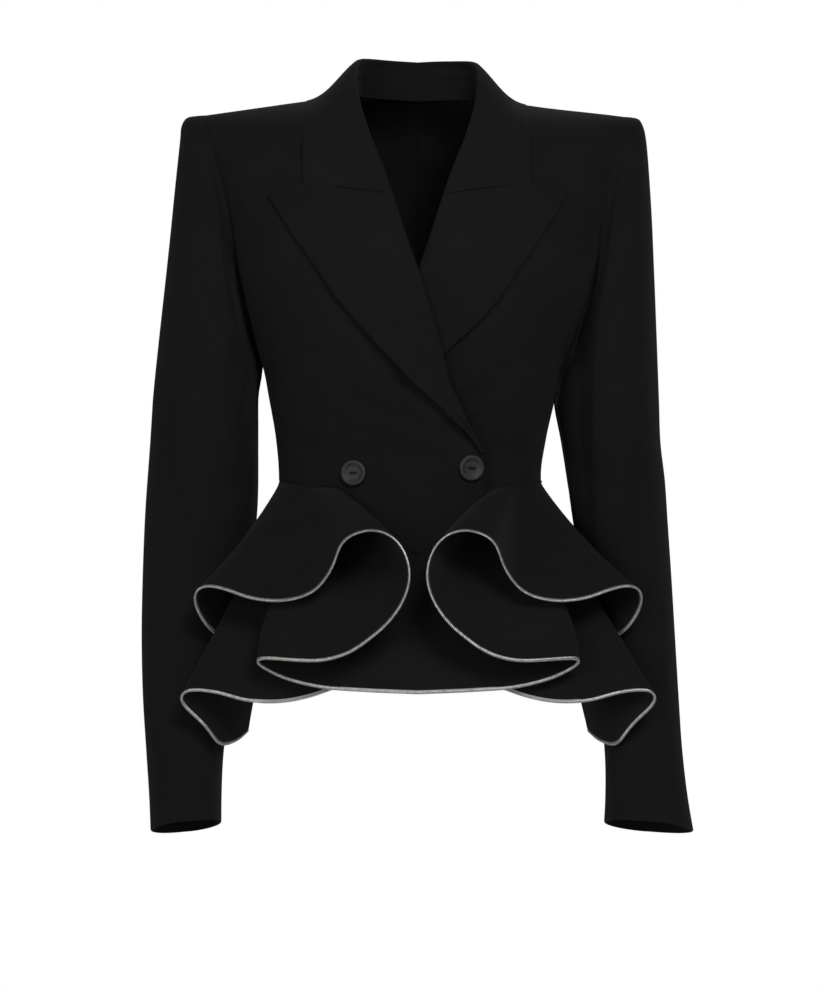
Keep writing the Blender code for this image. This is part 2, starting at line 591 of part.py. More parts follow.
def front_hem(table, side, longest):
    """Seam shares, hem points and bows of a front flounce on one side."""
    rows = np.array([[r[0], r[4], r[5], r[6], r[1], r[2], r[3]] for r in table], float)
    marks = denser(rows[:, [0, 4, 5, 6]], longest)
    run = curve_through(rows, marks)
    hem = run[:, 4:7].copy()
    nearer = 1 + hem[:, 1] / SIGHT_DISTANCE
    hem[:, 0] = SIGHT_X + (hem[:, 0] - SIGHT_X) * nearer
    hem[:, 2] = SIGHT_Z + (hem[:, 2] - SIGHT_Z) * nearer
    bow = run[:, 1:4].copy()
    if side == LEFT:
        hem[:, 0] = 2 * CENTRE - hem[:, 0]
        bow[:, 0] = -bow[:, 0]
    return np.clip(run[:, 0], 0, 1), hem, bow


def flounce_grid(seam, hem, bow, rows=7):
    t = np.linspace(0, 1, rows)[:, None, None]
    return seam[None] * (1 - t) + hem[None] * t + 4 * t * (1 - t) * bow[None]


def back_hem(table, side, side_point, columns):
    """Hem of a back flounce: waves round a quarter oval from the side seam to the centre back."""
    share = np.linspace(0, 1, columns)
    turn = share * math.pi / 2
    wave = 0.5 - 0.5 * np.cos(2 * math.pi * table["waves"] * share)
    x_side, y_side = abs(side_point[0] - CENTRE), side_point[1]
    grow = 1 + table["wave"] * wave / table["rear"]
    x = x_side * np.cos(turn) ** 0.9 * grow
    y = y_side + (table["rear"] - y_side) * np.sin(turn) * grow
    z = side_point[2] + table["fall"] * ease(share / BACK_FALL_OVER) + table["lift"] * wave
    x = CENTRE + side * np.maximum(x, SEAM_GAP / 2)
    y = np.maximum(y, y_side + SEAM_GAP)
    bow = np.stack([0 * x, 0 * x, 6 * wave], -1)
    return share, np.stack([x, y, z], -1), bow


def trim_bar(name, grid, inward, seams, material):
    """The trim that closes a flounce's hem, from the flounce's own last rows."""
    fall = grid[-1] - grid[-2]
    fall /= np.linalg.norm(fall, axis=1, keepdims=True)
    face = grid_normals(grid, seams)[-1] * inward
    face = face - fall * np.sum(face * fall, axis=1, keepdims=True)
    face /= np.linalg.norm(face, axis=1, keepdims=True)
    middle = grid[-1] + face * CLOTH / 2 + fall * (TRIM_GAP + TRIM_WIDTH / 2)
    return bar(name, middle, fall * TRIM_WIDTH / 2, face * TRIM_THICK / 2, material)


def button(name, x, z, material):
    """A turned button on its shank, seated on the front."""
    base = panel_point(x, z, True, 0.0)
    normal = panel_point(x, z, True, 1.0) - base
    level = np.cross(normal, [0, 0, 1])
    level /= np.linalg.norm(level)
    up = np.cross(level, normal)
    turn = np.linspace(0, 2 * math.pi, BUTTON_SIDES, endpoint=False)
    points, faces = [], []
    rings = BUTTON_PROFILE[1:-1]
    for radius, high in rings:
        for angle in turn:
            points.append(base + normal * high + (level * math.cos(angle) + up * math.sin(angle)) * radius)
    for r in range(len(rings) - 1):
        for k in range(BUTTON_SIDES):
            a, b = r * BUTTON_SIDES + k, r * BUTTON_SIDES + (k + 1) % BUTTON_SIDES
            faces.append((a, b, b + BUTTON_SIDES, a + BUTTON_SIDES))
    faces.append(tuple(range(BUTTON_SIDES))[::-1])
    faces.append(tuple((len(rings) - 1) * BUTTON_SIDES + k for k in range(BUTTON_SIDES)))
    points = np.array(points)
    if enclosed(points, faces) < 0:
        faces = [tuple(reversed(face)) for face in faces]
    return make_object(name, points, faces, material)


def welt(name, material):
    """The breast pocket's welt, on the wearer's left."""
    t = np.linspace(0, 1, 5)
    rows = []
    for high in (0, WELT["height"]):
        x = WELT["inner"][0] + (WELT["outer"][0] - WELT["inner"][0]) * t
        z = WELT["inner"][1] + (WELT["outer"][1] - WELT["inner"][1]) * t - high
        rows.append(panel_point(x, z, True, WELT["stand"]))
    return wall(name, np.stack(rows), material, 1.2, inward=inward_of(rows))


def inward_of(grid):
    """Which way a grid's normals must go to point at the body's axis."""
    grid = np.asarray(grid, float)
    middle = grid[len(grid) // 2, grid.shape[1] // 2]
    normal = grid_normals(grid)[len(grid) // 2, grid.shape[1] // 2]
    toward = np.array([CENTRE, 0, middle[2]]) - middle
    return 1 if np.dot(normal, toward) > 0 else -1


def make_material(name):
    colour, roughness, metallic = COLOURS[name]
    material = bpy.data.materials.new(name)
    material.use_nodes = True
    shader = material.node_tree.nodes["Principled BSDF"]
    shader.inputs["Base Color"].default_value = (*colour, 1)
    shader.inputs["Roughness"].default_value = roughness
    shader.inputs["Metallic"].default_value = metallic
    return material


def make_bodice(crepe):
    for side, word in ((RIGHT, "right"), (LEFT, "left")):
        front = panel_grid(side, True, 16)
        wall("front_" + word, front, crepe, inward=inward_of(front), seams=(SIDE_SEAM, SHOULDER_SEAM))
        back = panel_grid(side, False, 10)
        wall("back_" + word, back, crepe, inward=inward_of(back),
             seams=(SIDE_SEAM, SHOULDER_SEAM, CENTRE_SEAM))
        lapel = lapel_grid(side)
        wall("lapel_" + word, lapel, crepe, DOUBLE_CLOTH, inward=inward_of(lapel))
    welt("breast_welt", crepe)


def make_collar(crepe):
    collar = collar_grid()
    wall("collar", collar, crepe, DOUBLE_CLOTH, inward=inward_of(collar))
    stand = stand_grid()
    wall("collar_stand", stand, crepe, DOUBLE_CLOTH, inward=inward_of(stand))


def make_sleeves(crepe):
    front_seam, back_seam = UNDER_SLEEVE
    top = np.linspace(back_seam - 360, front_seam, TOP_SLEEVE_COLUMNS)
    under = np.linspace(front_seam, back_seam, UNDER_SLEEVE_COLUMNS)
    under[0] += SLEEVE_SEAM_TURN
    under[-1] -= SLEEVE_SEAM_TURN
    for side, word, table in ((RIGHT, "right", RIGHT_SLEEVE), (LEFT, "left", LEFT_SLEEVE)):
        for degrees, piece in ((top, "sleeve_top_"), (under, "sleeve_under_")):
            grid = sleeve_grid(table, side, degrees % 360)
            ahead = sleeve_grid(table, side, (degrees + 1) % 360)
            behind = sleeve_grid(table, side, (degrees - 1) % 360)
            normals = np.cross(ahead - behind, np.gradient(grid, axis=0))
            normals /= np.linalg.norm(normals, axis=-1, keepdims=True)
            wall(piece + word, grid, crepe, inward=sleeve_inward(grid, table, side), normals=normals)


def sleeve_inward(grid, table, side):
    row = len(grid) - 4
    column = grid.shape[1] // 2
    middle = grid[row, column]
    axis = side * (smooth(table, "inner", middle[2]) + smooth(table, "outer", middle[2])) / 2
    toward = np.array([float(axis), float(smooth(table, "centre", middle[2])), middle[2]]) - middle
    return 1 if np.dot(grid_normals(grid)[row, column], toward) > 0 else -1


def make_flounces(crepe, metal):
    for tier, table, back, inset, longest in (("upper", UPPER, UPPER_BACK, 0.0, 21),
                                              ("lower", LOWER, LOWER_BACK, UNDER_TIER_INSET, 22)):
        halves = {}
        for side, word in ((RIGHT, "right"), (LEFT, "left")):
            shares, hem, bow = front_hem(table, side, longest)
            seam = seam_line(side, True, shares, inset, SEAM_DROP[tier])
            seam[0, 1] -= SEAM_GAP
            halves[word] = flounce_grid(seam, hem, bow)
            shares, hem, bow = back_hem(back, side, hem[0], 15)
            seam = seam_line(side, False, shares, inset, SEAM_DROP[tier])
            seam[0, 1] += SEAM_GAP
            seam[-1, 0] = CENTRE + side * SEAM_GAP / 2
            grid = flounce_grid(seam, hem, bow, 6)
            place(tier, "back_" + word, grid, (SIDE_END, CENTRE_END), crepe, metal)
        if tier == "upper":
            whole = np.concatenate([halves["right"], halves["left"][:, ::-1][:, 1:]], axis=1)
            place(tier, "front", whole, (SIDE_END, OTHER_SIDE_END), crepe, metal)
        else:
            for word in ("right", "left"):
                grid = halves[word]
                grid[:, -1, 0] = CENTRE + (-SEAM_GAP / 2 if word == "right" else SEAM_GAP / 2)
                place(tier, "front_" + word, grid, (SIDE_END, CENTRE_END), crepe, metal)


def place(tier, word, grid, seams, crepe, metal):
    """One flounce and its trim. Its first column lies at the side seam."""
    normal = grid_normals(grid)[0, 0]
    inward = 1 if normal[0] * (CENTRE - grid[0, 0, 0]) > 0 else -1
    wall(tier + "_flounce_" + word, grid, crepe, inward=inward, seams=seams)
    trim_bar(tier + "_trim_" + word, grid, inward, seams, metal)


def main():
    for thing in list(bpy.data.objects):
        bpy.data.objects.remove(thing)
    crepe = make_material("jacket_crepe")
    metal = make_material("edge_trim")
    horn = make_material("button_horn")
    make_bodice(crepe)
    make_collar(crepe)
    make_sleeves(crepe)
    make_flounces(crepe, metal)
    for word, (x, z) in BUTTONS.items():
        button("button_" + word, x, z, horn)


main()
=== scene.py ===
# Peplum jacket in black crepe: cloth shells, flounces with ribbed metal edging, buttons, light and camera.
# Tables hold millimetres; meshes are made in metres.
import json
import math

import bpy
import numpy as np
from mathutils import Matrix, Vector

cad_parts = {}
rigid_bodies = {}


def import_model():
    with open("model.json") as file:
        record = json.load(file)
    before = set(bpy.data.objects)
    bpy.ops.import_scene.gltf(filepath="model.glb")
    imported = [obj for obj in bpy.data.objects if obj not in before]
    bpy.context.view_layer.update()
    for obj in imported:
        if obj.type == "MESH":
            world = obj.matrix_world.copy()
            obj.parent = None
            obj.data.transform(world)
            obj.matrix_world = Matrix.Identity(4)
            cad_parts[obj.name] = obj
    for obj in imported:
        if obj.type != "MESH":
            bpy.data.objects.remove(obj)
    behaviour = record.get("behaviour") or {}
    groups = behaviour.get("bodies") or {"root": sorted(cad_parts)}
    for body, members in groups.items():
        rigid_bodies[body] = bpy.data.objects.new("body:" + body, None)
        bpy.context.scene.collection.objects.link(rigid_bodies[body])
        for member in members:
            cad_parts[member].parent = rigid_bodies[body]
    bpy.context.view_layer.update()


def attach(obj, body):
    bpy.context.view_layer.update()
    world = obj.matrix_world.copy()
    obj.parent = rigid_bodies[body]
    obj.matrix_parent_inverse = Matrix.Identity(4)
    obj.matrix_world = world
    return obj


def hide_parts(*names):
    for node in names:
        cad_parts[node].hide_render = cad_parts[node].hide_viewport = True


for leftover in list(bpy.data.objects):
    bpy.data.objects.remove(leftover)

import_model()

mm = 0.001
rightSide, leftSide = -1, 1  # the jacket's own sides
sideWords = {rightSide: "Right", leftSide: "Left"}
nodeWords = {rightSide: "right", leftSide: "left"}

cloth = {
    "overlap": 1.2,  # how far the two halves pass the centre line
    "foldGain": 1.3,  # how much fuller the body's folds are than their table says
    "wall": 1.5,
    "double": 2.0,  # cloth with its facing
    "layGap": 1.2,  # from a panel up to what lies on it
    "centre": 0.9,
    "round": 2.3,  # exponent of the oval sections
    "turnWidth": 1.5,  # a pressed edge turns down over this width
    "turnDepth": 0.6,
    "rim": 0.28,  # how far a cut edge rounds out, as a share of its thickness
    "rowEase": 1.35,  # a panel's rows lie closer together towards the shoulder
    "waistFade": 4,  # how fast the waist's point dies out up the panel
}
centre = cloth["centre"]


def between(t, span, first, second, slopeFirst, slopeSecond):
    return ((1 + 2 * t) * (1 - t) ** 2 * first + t * (1 - t) ** 2 * span * slopeFirst
            + t * t * (3 - 2 * t) * second + t * t * (t - 1) * span * slopeSecond)


def smooth(table, column, at):
    # smooth curve through one column of a table
    key = next(iter(table))
    place = np.asarray(table[key], float)
    value = np.asarray(table[column], float)
    if place[0] > place[-1]:
        place, value = place[::-1], value[::-1]
    slope = np.gradient(value, place)
    at = np.asarray(at, float)
    i = np.clip(np.searchsorted(place, at) - 1, 0, len(place) - 2)
    span = place[i + 1] - place[i]
    t = np.clip((at - place[i]) / span, 0, 1)
    return between(t, span, value[i], value[i + 1], slope[i], slope[i + 1])


def curveThrough(points, samples):
    points = np.asarray(points, float)
    steps = np.linalg.norm(np.diff(points[:, -3:], axis=0), axis=1) ** 0.5
    knots = np.concatenate([[0], np.cumsum(np.maximum(steps, 1e-6))])
    slopes = np.gradient(points, knots, axis=0)
    at = np.interp(samples, np.arange(len(points)), knots)
    i = np.clip(np.searchsorted(knots, at) - 1, 0, len(points) - 2)
    span = (knots[i + 1] - knots[i])[:, None]
    t = (at[:, None] - knots[i][:, None]) / span
    return between(t, span, points[i], points[i + 1], slopes[i], slopes[i + 1])


def ease(t):
    t = np.clip(t, 0, 1)
    return t * t * (3 - 2 * t)


def unit(v):
    return v / np.maximum(np.linalg.norm(v, axis=-1, keepdims=True), 1e-9)


def lengthAlong(points):
    return np.concatenate([[0], np.cumsum(np.linalg.norm(np.diff(points, axis=0), axis=1))])


def readAlong(points, run, at):
    return np.stack([np.interp(at, run, column) for column in points.T], -1)


def atShares(points, shares):
    run = lengthAlong(points)
    return readAlong(points, run, np.asarray(shares) * run[-1])


def soften(points, times):
    for again in range(times):
        points[1:-1] = points[1:-1] * 0.5 + (points[:-2] + points[2:]) * 0.25


def foldHeight(folds, x, z):
    # soft troughs and ridges: each row runs from one place to another with its own height at each end
    x, z = np.broadcast_arrays(np.asarray(x, float), np.asarray(z, float))
    total = np.zeros(x.shape)
    for x1, z1, h1, x2, z2, h2, width in folds:
        dx, dz = x2 - x1, z2 - z1
        t = np.clip(((x - x1) * dx + (z - z1) * dz) / (dx * dx + dz * dz), 0, 1)
        away = np.hypot(x - x1 - dx * t, z - z1 - dz * t) / width
        total += (h1 + (h2 - h1) * t) * np.exp(-away * away)
    return total


def cutLines(grid):
    # how far along the cloth each grid point lies, across and down, in metres
    across = np.linalg.norm(np.diff(grid, axis=1), axis=-1)
    down = np.linalg.norm(np.diff(grid, axis=0), axis=-1)
    u = np.concatenate([np.zeros((grid.shape[0], 1)), np.cumsum(across, 1)], 1)
    v = np.concatenate([np.zeros((1, grid.shape[1])), np.cumsum(down, 0)], 0)
    return np.stack([u, v], -1) * mm


def gridNormals(grid):
    return unit(np.cross(np.gradient(grid, axis=1), np.gradient(grid, axis=0)))


# the left shoulder comes in a little and sits lower
lean = {"x": -3.4, "from": -150, "over": 140, "start": 20, "width": 80}
lowShoulder = {"drop": 3.4, "start": 10, "over": 60, "backUp": 2.0, "tipStart": 110, "tipOver": 80,
               "from": -90, "height": 90}


def settled(points):
    # the points as the uneven shoulders carry them
    points = np.array(points, float)
    x, z, low = points[:, 0].copy(), points[:, 2].copy(), lowShoulder
    drop = low["drop"] * ease((x - low["start"]) / low["over"])
    drop -= low["backUp"] * ease((x - low["tipStart"]) / low["tipOver"])
    comeIn = lean["x"] * ease((z - lean["from"]) / lean["over"]) * ease((x - lean["start"]) / lean["width"])
    points[:, 0] = x + comeIn
    points[:, 2] = z - drop * ease((z - low["from"]) / low["height"])
    return points


def addMesh(name, points, faces, material, uv=None, sharp=60):
    mesh = bpy.data.meshes.new(name)
    mesh.from_pydata((settled(points) * mm).tolist(), [], faces)
    if uv is not None:
        layer = mesh.uv_layers.new(name="clothLines")
        corners = np.empty(len(mesh.loops), np.int32)
        mesh.loops.foreach_get("vertex_index", corners)
        layer.data.foreach_set("uv", uv[corners].astype(np.float32).ravel())
    mesh.materials.append(material)
    mesh.shade_smooth()
    mesh.set_sharp_from_angle(angle=math.radians(sharp))
    made = bpy.data.objects.new(name, mesh)
    bpy.context.scene.collection.objects.link(made)
    return made


def turnEdges(grid, sides, inward):
    # adds points just inside each named side and lets the edge itself dip, as a pressed edge does
    width, depth = cloth["turnWidth"], cloth["turnDepth"]
    for side in sides:
        work = grid if side in ("top", "bottom") else np.swapaxes(grid, 0, 1)
        last = side in ("bottom", "end")
        work = work[::-1] if last else work
        normal = gridNormals(work)
        if (side in ("start", "end")) != last:
            normal = -normal  # the swap and the reversal each turn the normal over
        step = work[1] - work[0]
        length = np.linalg.norm(step, axis=-1, keepdims=True)
        part = np.minimum(width / np.maximum(length, 1e-6), 0.6)
        work = np.concatenate([(work[0] + normal[0] * inward * depth)[None],
                               (work[0] + step * part * 0.45 + normal[0] * inward * depth * 0.25)[None],
                               (work[0] + step * part)[None], work[1:]])
        work = work[::-1] if last else work
        grid = work if side in ("top", "bottom") else np.swapaxes(work, 0, 1)
    return grid


def shell(name, grid, material, thick, inward, turned=("top", "bottom", "start", "end")):
    # a closed wall: the grid is its outer face and inward says which way the cloth's thickness goes
    grid = turnEdges(np.asarray(grid, float), turned, inward)
    rows, columns = grid.shape[:2]
    inner = grid + gridNormals(grid) * thick * inward
    shift = rows * columns
    index = np.arange(shift).reshape(rows, columns)
    quads = np.stack([index[:-1, :-1], index[:-1, 1:], index[1:, 1:], index[1:, :-1]], -1).reshape(-1, 4)
    faces = [*quads.tolist(), *(quads[:, ::-1] + shift).tolist()]
    rim = np.concatenate([index[0, :], index[1:, -1], index[-1, -2::-1], index[-2:0:-1, 0]])
    beyond = np.zeros_like(grid)
    beyond[0] += unit(grid[0] - grid[1])
    beyond[-1] += unit(grid[-1] - grid[-2])
    beyond[:, 0] += unit(grid[:, 0] - grid[:, 1])
    beyond[:, -1] += unit(grid[:, -1] - grid[:, -2])
    flat, flatInner = grid.reshape(-1, 3), inner.reshape(-1, 3)
    edge = (flat[rim] + flatInner[rim]) / 2 + unit(beyond.reshape(-1, 3)[rim]) * thick * cloth["rim"]
    middle = np.arange(len(rim)) + 2 * shift
    for k in range(len(rim)):
        a, b = k, (k + 1) % len(rim)
        faces.append((int(rim[b]), int(rim[a]), int(middle[a]), int(middle[b])))
        faces.append((int(middle[b]), int(middle[a]), int(rim[a] + shift), int(rim[b] + shift)))
    points = np.concatenate([flat, flatInner, edge])
    lines = cutLines(grid).reshape(-1, 2)
    uv = np.concatenate([lines, lines, lines[rim]])
    if inward > 0:  # the grid's normals point into the wall, so every face is turned over
        faces = [tuple(reversed(face)) for face in faces]
    return addMesh(name, points, faces, material, uv)


def towardAxis(grid, x=centre, y=0):
    # which way a grid's normals must go to point at the upright line through x, y
    r, c = grid.shape[0] // 2, grid.shape[1] // 2
    toward = np.array([x, y, grid[r, c, 2]]) - grid[r, c]
    return 1 if np.dot(gridNormals(grid)[r, c], toward) > 0 else -1


print("materials")


def nodeGroup(name, inputs, outputs):
    tree = bpy.data.node_groups.new(name, "ShaderNodeTree")
    for label, kind, value in inputs:
        socket = tree.interface.new_socket(name=label, in_out="INPUT", socket_type=kind)
        if value is not None:
            socket.default_value = value
    for label, kind in outputs:
        tree.interface.new_socket(name=label, in_out="OUTPUT", socket_type=kind)
    return tree, tree.nodes.new("NodeGroupInput"), tree.nodes.new("NodeGroupOutput")


def mathNode(tree, operation, first, second):
    node = tree.nodes.new("ShaderNodeMath")
    node.operation = operation
    for socket, value in zip(node.inputs, (first, second)):
        if isinstance(value, (int, float)):
            socket.default_value = value
        else:
            tree.links.new(value, socket)
    return node.outputs[0]


def noiseNode(tree, vector, scale, detail=2.0, rough=0.5):
    node = tree.nodes.new("ShaderNodeTexNoise")
    node.inputs["Scale"].default_value = scale
    node.inputs["Detail"].default_value = detail
    node.inputs["Roughness"].default_value = rough
    tree.links.new(vector, node.inputs["Vector"])
    return node


def makeCrepeGrain():
    # twisted yarns crossing, with the pebbles of crepe and a slow change of shade over the cloth
    tree, source, out = nodeGroup(
        "crepeGrain",
        [("Lines", "NodeSocketVector", None), ("Threads", "NodeSocketFloat", 900.0),
         ("Pebble", "NodeSocketFloat", 0.6)],
        [("Shade", "NodeSocketFloat"), ("Height", "NodeSocketFloat")])
    bands = []
    for direction in ("X", "Y"):
        wave = tree.nodes.new("ShaderNodeTexWave")
        wave.wave_type = "BANDS"
        wave.bands_direction = direction
        wave.inputs["Distortion"].default_value = 2.5
        wave.inputs["Detail"].default_value = 1.0
        wave.inputs["Detail Scale"].default_value = 1.5
        tree.links.new(source.outputs["Lines"], wave.inputs["Vector"])
        tree.links.new(source.outputs["Threads"], wave.inputs["Scale"])
        bands.append(wave.outputs["Fac"])
    weave = mathNode(tree, "MULTIPLY", bands[0], bands[1])
    pebble = noiseNode(tree, source.outputs["Lines"], 1300, 3.0, 0.65).outputs["Fac"]
    drift = noiseNode(tree, source.outputs["Lines"], 14, 3.0, 0.55).outputs["Fac"]
    bumps = mathNode(tree, "MULTIPLY", pebble, source.outputs["Pebble"])
    height = mathNode(tree, "ADD", mathNode(tree, "MULTIPLY", weave, 0.45), bumps)
    slow = mathNode(tree, "MULTIPLY", drift, 0.55)
    shade = mathNode(tree, "ADD", slow, mathNode(tree, "MULTIPLY", height, 0.45))
    tree.links.new(shade, out.inputs["Shade"])
    tree.links.new(height, out.inputs["Height"])
    return tree


def makeFineWear():
    # fine brushed scratches and dull patches, for metal and buttons
    tree, source, out = nodeGroup(
        "fineWear",
        [("Place", "NodeSocketVector", None), ("Size", "NodeSocketFloat", 260.0)],
        [("Mask", "NodeSocketFloat"), ("Height", "NodeSocketFloat")])
    patches = tree.nodes.new("ShaderNodeTexNoise")
    patches.inputs["Detail"].default_value = 4.0
    tree.links.new(source.outputs["Place"], patches.inputs["Vector"])
    tree.links.new(source.outputs["Size"], patches.inputs["Scale"])
    fine = noiseNode(tree, source.outputs["Place"], 2600, 2.0, 0.6).outputs["Fac"]
    dull = mathNode(tree, "MULTIPLY", patches.outputs["Fac"], 0.7)
    mask = mathNode(tree, "ADD", dull, mathNode(tree, "MULTIPLY", fine, 0.3))
    tree.links.new(mask, out.inputs["Mask"])
    tree.links.new(fine, out.inputs["Height"])
    return tree


crepeGrain = makeCrepeGrain()
fineWear = makeFineWear()


def startMaterial(name, settings):
    material = bpy.data.materials.new(name)
    material.use_nodes = True
    tree = material.node_tree
    shader = tree.nodes["Principled BSDF"]
    for label, value in settings.items():
        shader.inputs[label].default_value = value
    return material, tree, shader


def twoTone(tree, mask, dark, light, low, high):
    # colour ramp between two tones, driven by a mask
    ramp = tree.nodes.new("ShaderNodeValToRGB")
    ramp.color_ramp.elements[0].position, ramp.color_ramp.elements[1].position = low, high
    ramp.color_ramp.elements[0].color, ramp.color_ramp.elements[1].color = (*dark, 1), (*light, 1)
    tree.links.new(mask, ramp.inputs["Fac"])
    return ramp.outputs["Color"]


def addBump(tree, shader, height, strength, distance):
    bump = tree.nodes.new("ShaderNodeBump")
    bump.inputs["Strength"].default_value = strength
    bump.inputs["Distance"].default_value = distance
    tree.links.new(height, bump.inputs["Height"])
    tree.links.new(bump.outputs["Normal"], shader.inputs["Normal"])


def makeCrepe(name, dark, light, sheen, bump):
    material, tree, shader = startMaterial(name, {
        "Roughness": 0.88, "Specular IOR Level": 0.22, "Sheen Weight": sheen, "Sheen Roughness": 0.45})
    place = tree.nodes.new("ShaderNodeUVMap")
    place.uv_map = "clothLines"
    grain = tree.nodes.new("ShaderNodeGroup")
    grain.node_tree = crepeGrain
    tree.links.new(place.outputs["UV"], grain.inputs["Lines"])
    tree.links.new(twoTone(tree, grain.outputs["Shade"], dark, light, 0.3, 0.75), shader.inputs["Base Color"])
    addBump(tree, shader, grain.outputs["Height"], bump, 0.0004)
    return material


def makeWorn(name, settings, dark, light, size, bump, roughLow, roughHigh):
    material, tree, shader = startMaterial(name, settings)
    place = tree.nodes.new("ShaderNodeTexCoord")
    wear = tree.nodes.new("ShaderNodeGroup")
    wear.node_tree = fineWear
    wear.inputs["Size"].default_value = size
    tree.links.new(place.outputs["Object"], wear.inputs["Place"])
    tree.links.new(twoTone(tree, wear.outputs["Mask"], dark, light, 0.35, 0.65), shader.inputs["Base Color"])
    spread = tree.nodes.new("ShaderNodeMapRange")
    spread.inputs["To Min"].default_value, spread.inputs["To Max"].default_value = roughLow, roughHigh
    tree.links.new(wear.outputs["Mask"], spread.inputs["Value"])
    tree.links.new(spread.outputs["Result"], shader.inputs["Roughness"])
    addBump(tree, shader, wear.outputs["Height"], bump, 0.0002)
    return material


crepe = makeCrepe(
    "blackCrepe", dark=(0.0038, 0.0037, 0.0046), light=(0.0082, 0.0080, 0.0097), sheen=0.025, bump=0.45)
crepeFacing = makeCrepe(
    "blackCrepeFacing", dark=(0.0040, 0.0039, 0.0048), light=(0.0084, 0.0082, 0.0099), sheen=0.025, bump=0.4)
edgeMetal = makeWorn(
    "edgeMetal", {"Metallic": 0.85}, dark=(0.30, 0.295, 0.285), light=(0.62, 0.61, 0.58),
    size=420.0, bump=0.25, roughLow=0.30, roughHigh=0.48)
buttonHorn = makeWorn(
    "buttonHorn", {"Specular IOR Level": 0.4}, dark=(0.018, 0.018, 0.020), light=(0.036, 0.036, 0.040),
    size=300.0, bump=0.3, roughLow=0.45, roughHigh=0.65)
buttonThread = makeWorn(
    "buttonThread", {"Specular IOR Level": 0.2}, dark=(0.008, 0.008, 0.009), light=(0.016, 0.016, 0.018),
    size=900.0, bump=0.5, roughLow=0.75, roughHigh=0.9)


def finishPiece(piece, slot, *nodes):
    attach(piece, "root")
    if nodes:
        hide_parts(*nodes)


print("body")

body = {
    "height": (-420, -370, -333, -297, -261, -228, -200, -170, -140, -109, -72, -40, 0, 24),
    "half": (137, 124, 118, 121.5, 128.6, 136, 149, 161, 170, 177, 185, 194, 203, 206),
    "middle": (1, -3, -6.3, -5.4, -4.4, -3.8, -2.4, -1, 0, 0, 0, 0, 0, 0),
    "front": (-108, -101, -96, -98, -104, -110, -114, -117, -115, -109, -99, -88, -74, -66),
    "back": (92, 84, 79, 81, 86, 92, 97, 101, 103, 103, 100, 95, 84, 77),
}
bodyShape = {
    "sideSeamY": 4, "shoulderSeamY": 8, "neckX": 60, "neckZ": 14, "slope": 0.14, "turn": 45,
    "bust": (6, 70, -178, 44, 58),  # rise, place across, place up, spread across, spread up
    "underarm": -228, "tip": -4.2, "sideWaist": -334.8, "backDip": 4, "edgeBottom": -422.6,
    "neckShare": 0.93, "backNeckLow": 10,
}
armhole = {
    "height": (-228, -200, -170, -140, -109, -72, -40, -19, -4.2),
    "distance": (136, 144.5, 153, 159, 163, 171, 181, 187.5, 190),
}
# how far the cloth dips in beside the armhole seam
armCrease = {"height": (-228, -214, -190, -150, -110, -60, -20), "depth": (0, 2, 4, 3.5, 2, 0.8, 0)}
creaseSpread = 9
waist = {
    "distance": (-200, 0, 20, 40, 52, 66, 97, 124, 200),
    "height": (-400.5, -400.5, -384, -365.4, -353.5, -343, -339.3, -334.8, -334.8),
}
frontEdge = {
    "height": (-420, -345, -309, -276, -245, -214, -183, -152.5, -121.5, -86, -51, -24, 14),
    "distance": (-59, -59, -57.5, -41, -27.5, -20.5, -11.5, -2, 9, 20.6, 33, 44, 60),
}
# folds of the fronts: from x, z, height to x, z, height, then width
frontFolds = (
    (-66, -259, -0.6, -10, -281, -2.2, 6),
    (-70, -268, 0.5, -14, -291, 1.5, 8),
    (-18, -273, -1.2, 22, -294, -3.0, 5),
    (-14, -284, 0.8, 20, -304, 1.6, 6),
    (-60, -311, -0.4, 24, -316, -1.2, 6),
    (43, -265, -2.2, 88, -246, -0.8, 6),
    (42, -276, 1.2, 84, -258, 0.5, 8),
    (60, -300, -0.8, 104, -312, -1.2, 7),
    (-112, -297, -1.2, -52, -318, -0.6, 8),
    (-116, -283, 0.8, -60, -303, 0.5, 9),
    (-150, -110, -1.6, -128, -215, -1.0, 10),
    (151, -112, -1.6, 130, -215, -1.2, 10),
    (-142, -205, -1.0, -96, -232, -0.4, 9),
    (140, -205, -1.0, 98, -236, -0.4, 9),
    (-118, -40, -1.2, -150, -96, -0.6, 16),
    (120, -42, -1.0, 150, -96, -0.6, 16),
    (100, -222, -0.9, 118, -300, -0.6, 8),
    (-113, -119, -0.8, -74, -176, -1.4, 6),
    (-74, -176, -1.4, -12, -248, -3.2, 8),
    (-12, -248, -3.2, 42, -299, -4.0, 8),
    (108, -124, -0.8, 70, -178, -1.6, 5),
    (70, -178, -1.6, 34, -216, -1.6, 5),
)
backFolds = (
    (-140, -130, -1.8, -112, -205, -0.8, 12),
    (142, -128, -1.6, 110, -208, -0.9, 12),
    (-96, -292, -1.6, -30, -306, -0.7, 7),
    (-104, -308, 1.0, -36, -320, 0.6, 8),
    (92, -288, -1.4, 34, -304, -0.8, 7),
    (98, -304, 0.9, 30, -318, 0.5, 8),
    (-60, -36, -1.2, 0, -44, -0.8, 14),
    (60, -36, -1.2, 0, -44, -0.8, 14),
    (-70, -226, -0.9, -56, -300, -0.9, 10),
    (70, -226, -0.9, 56, -300, -0.9, 10),
)


def shoulderHeight(x):
    return bodyShape["neckZ"] - bodyShape["slope"] * (np.abs(x) - bodyShape["neckX"])


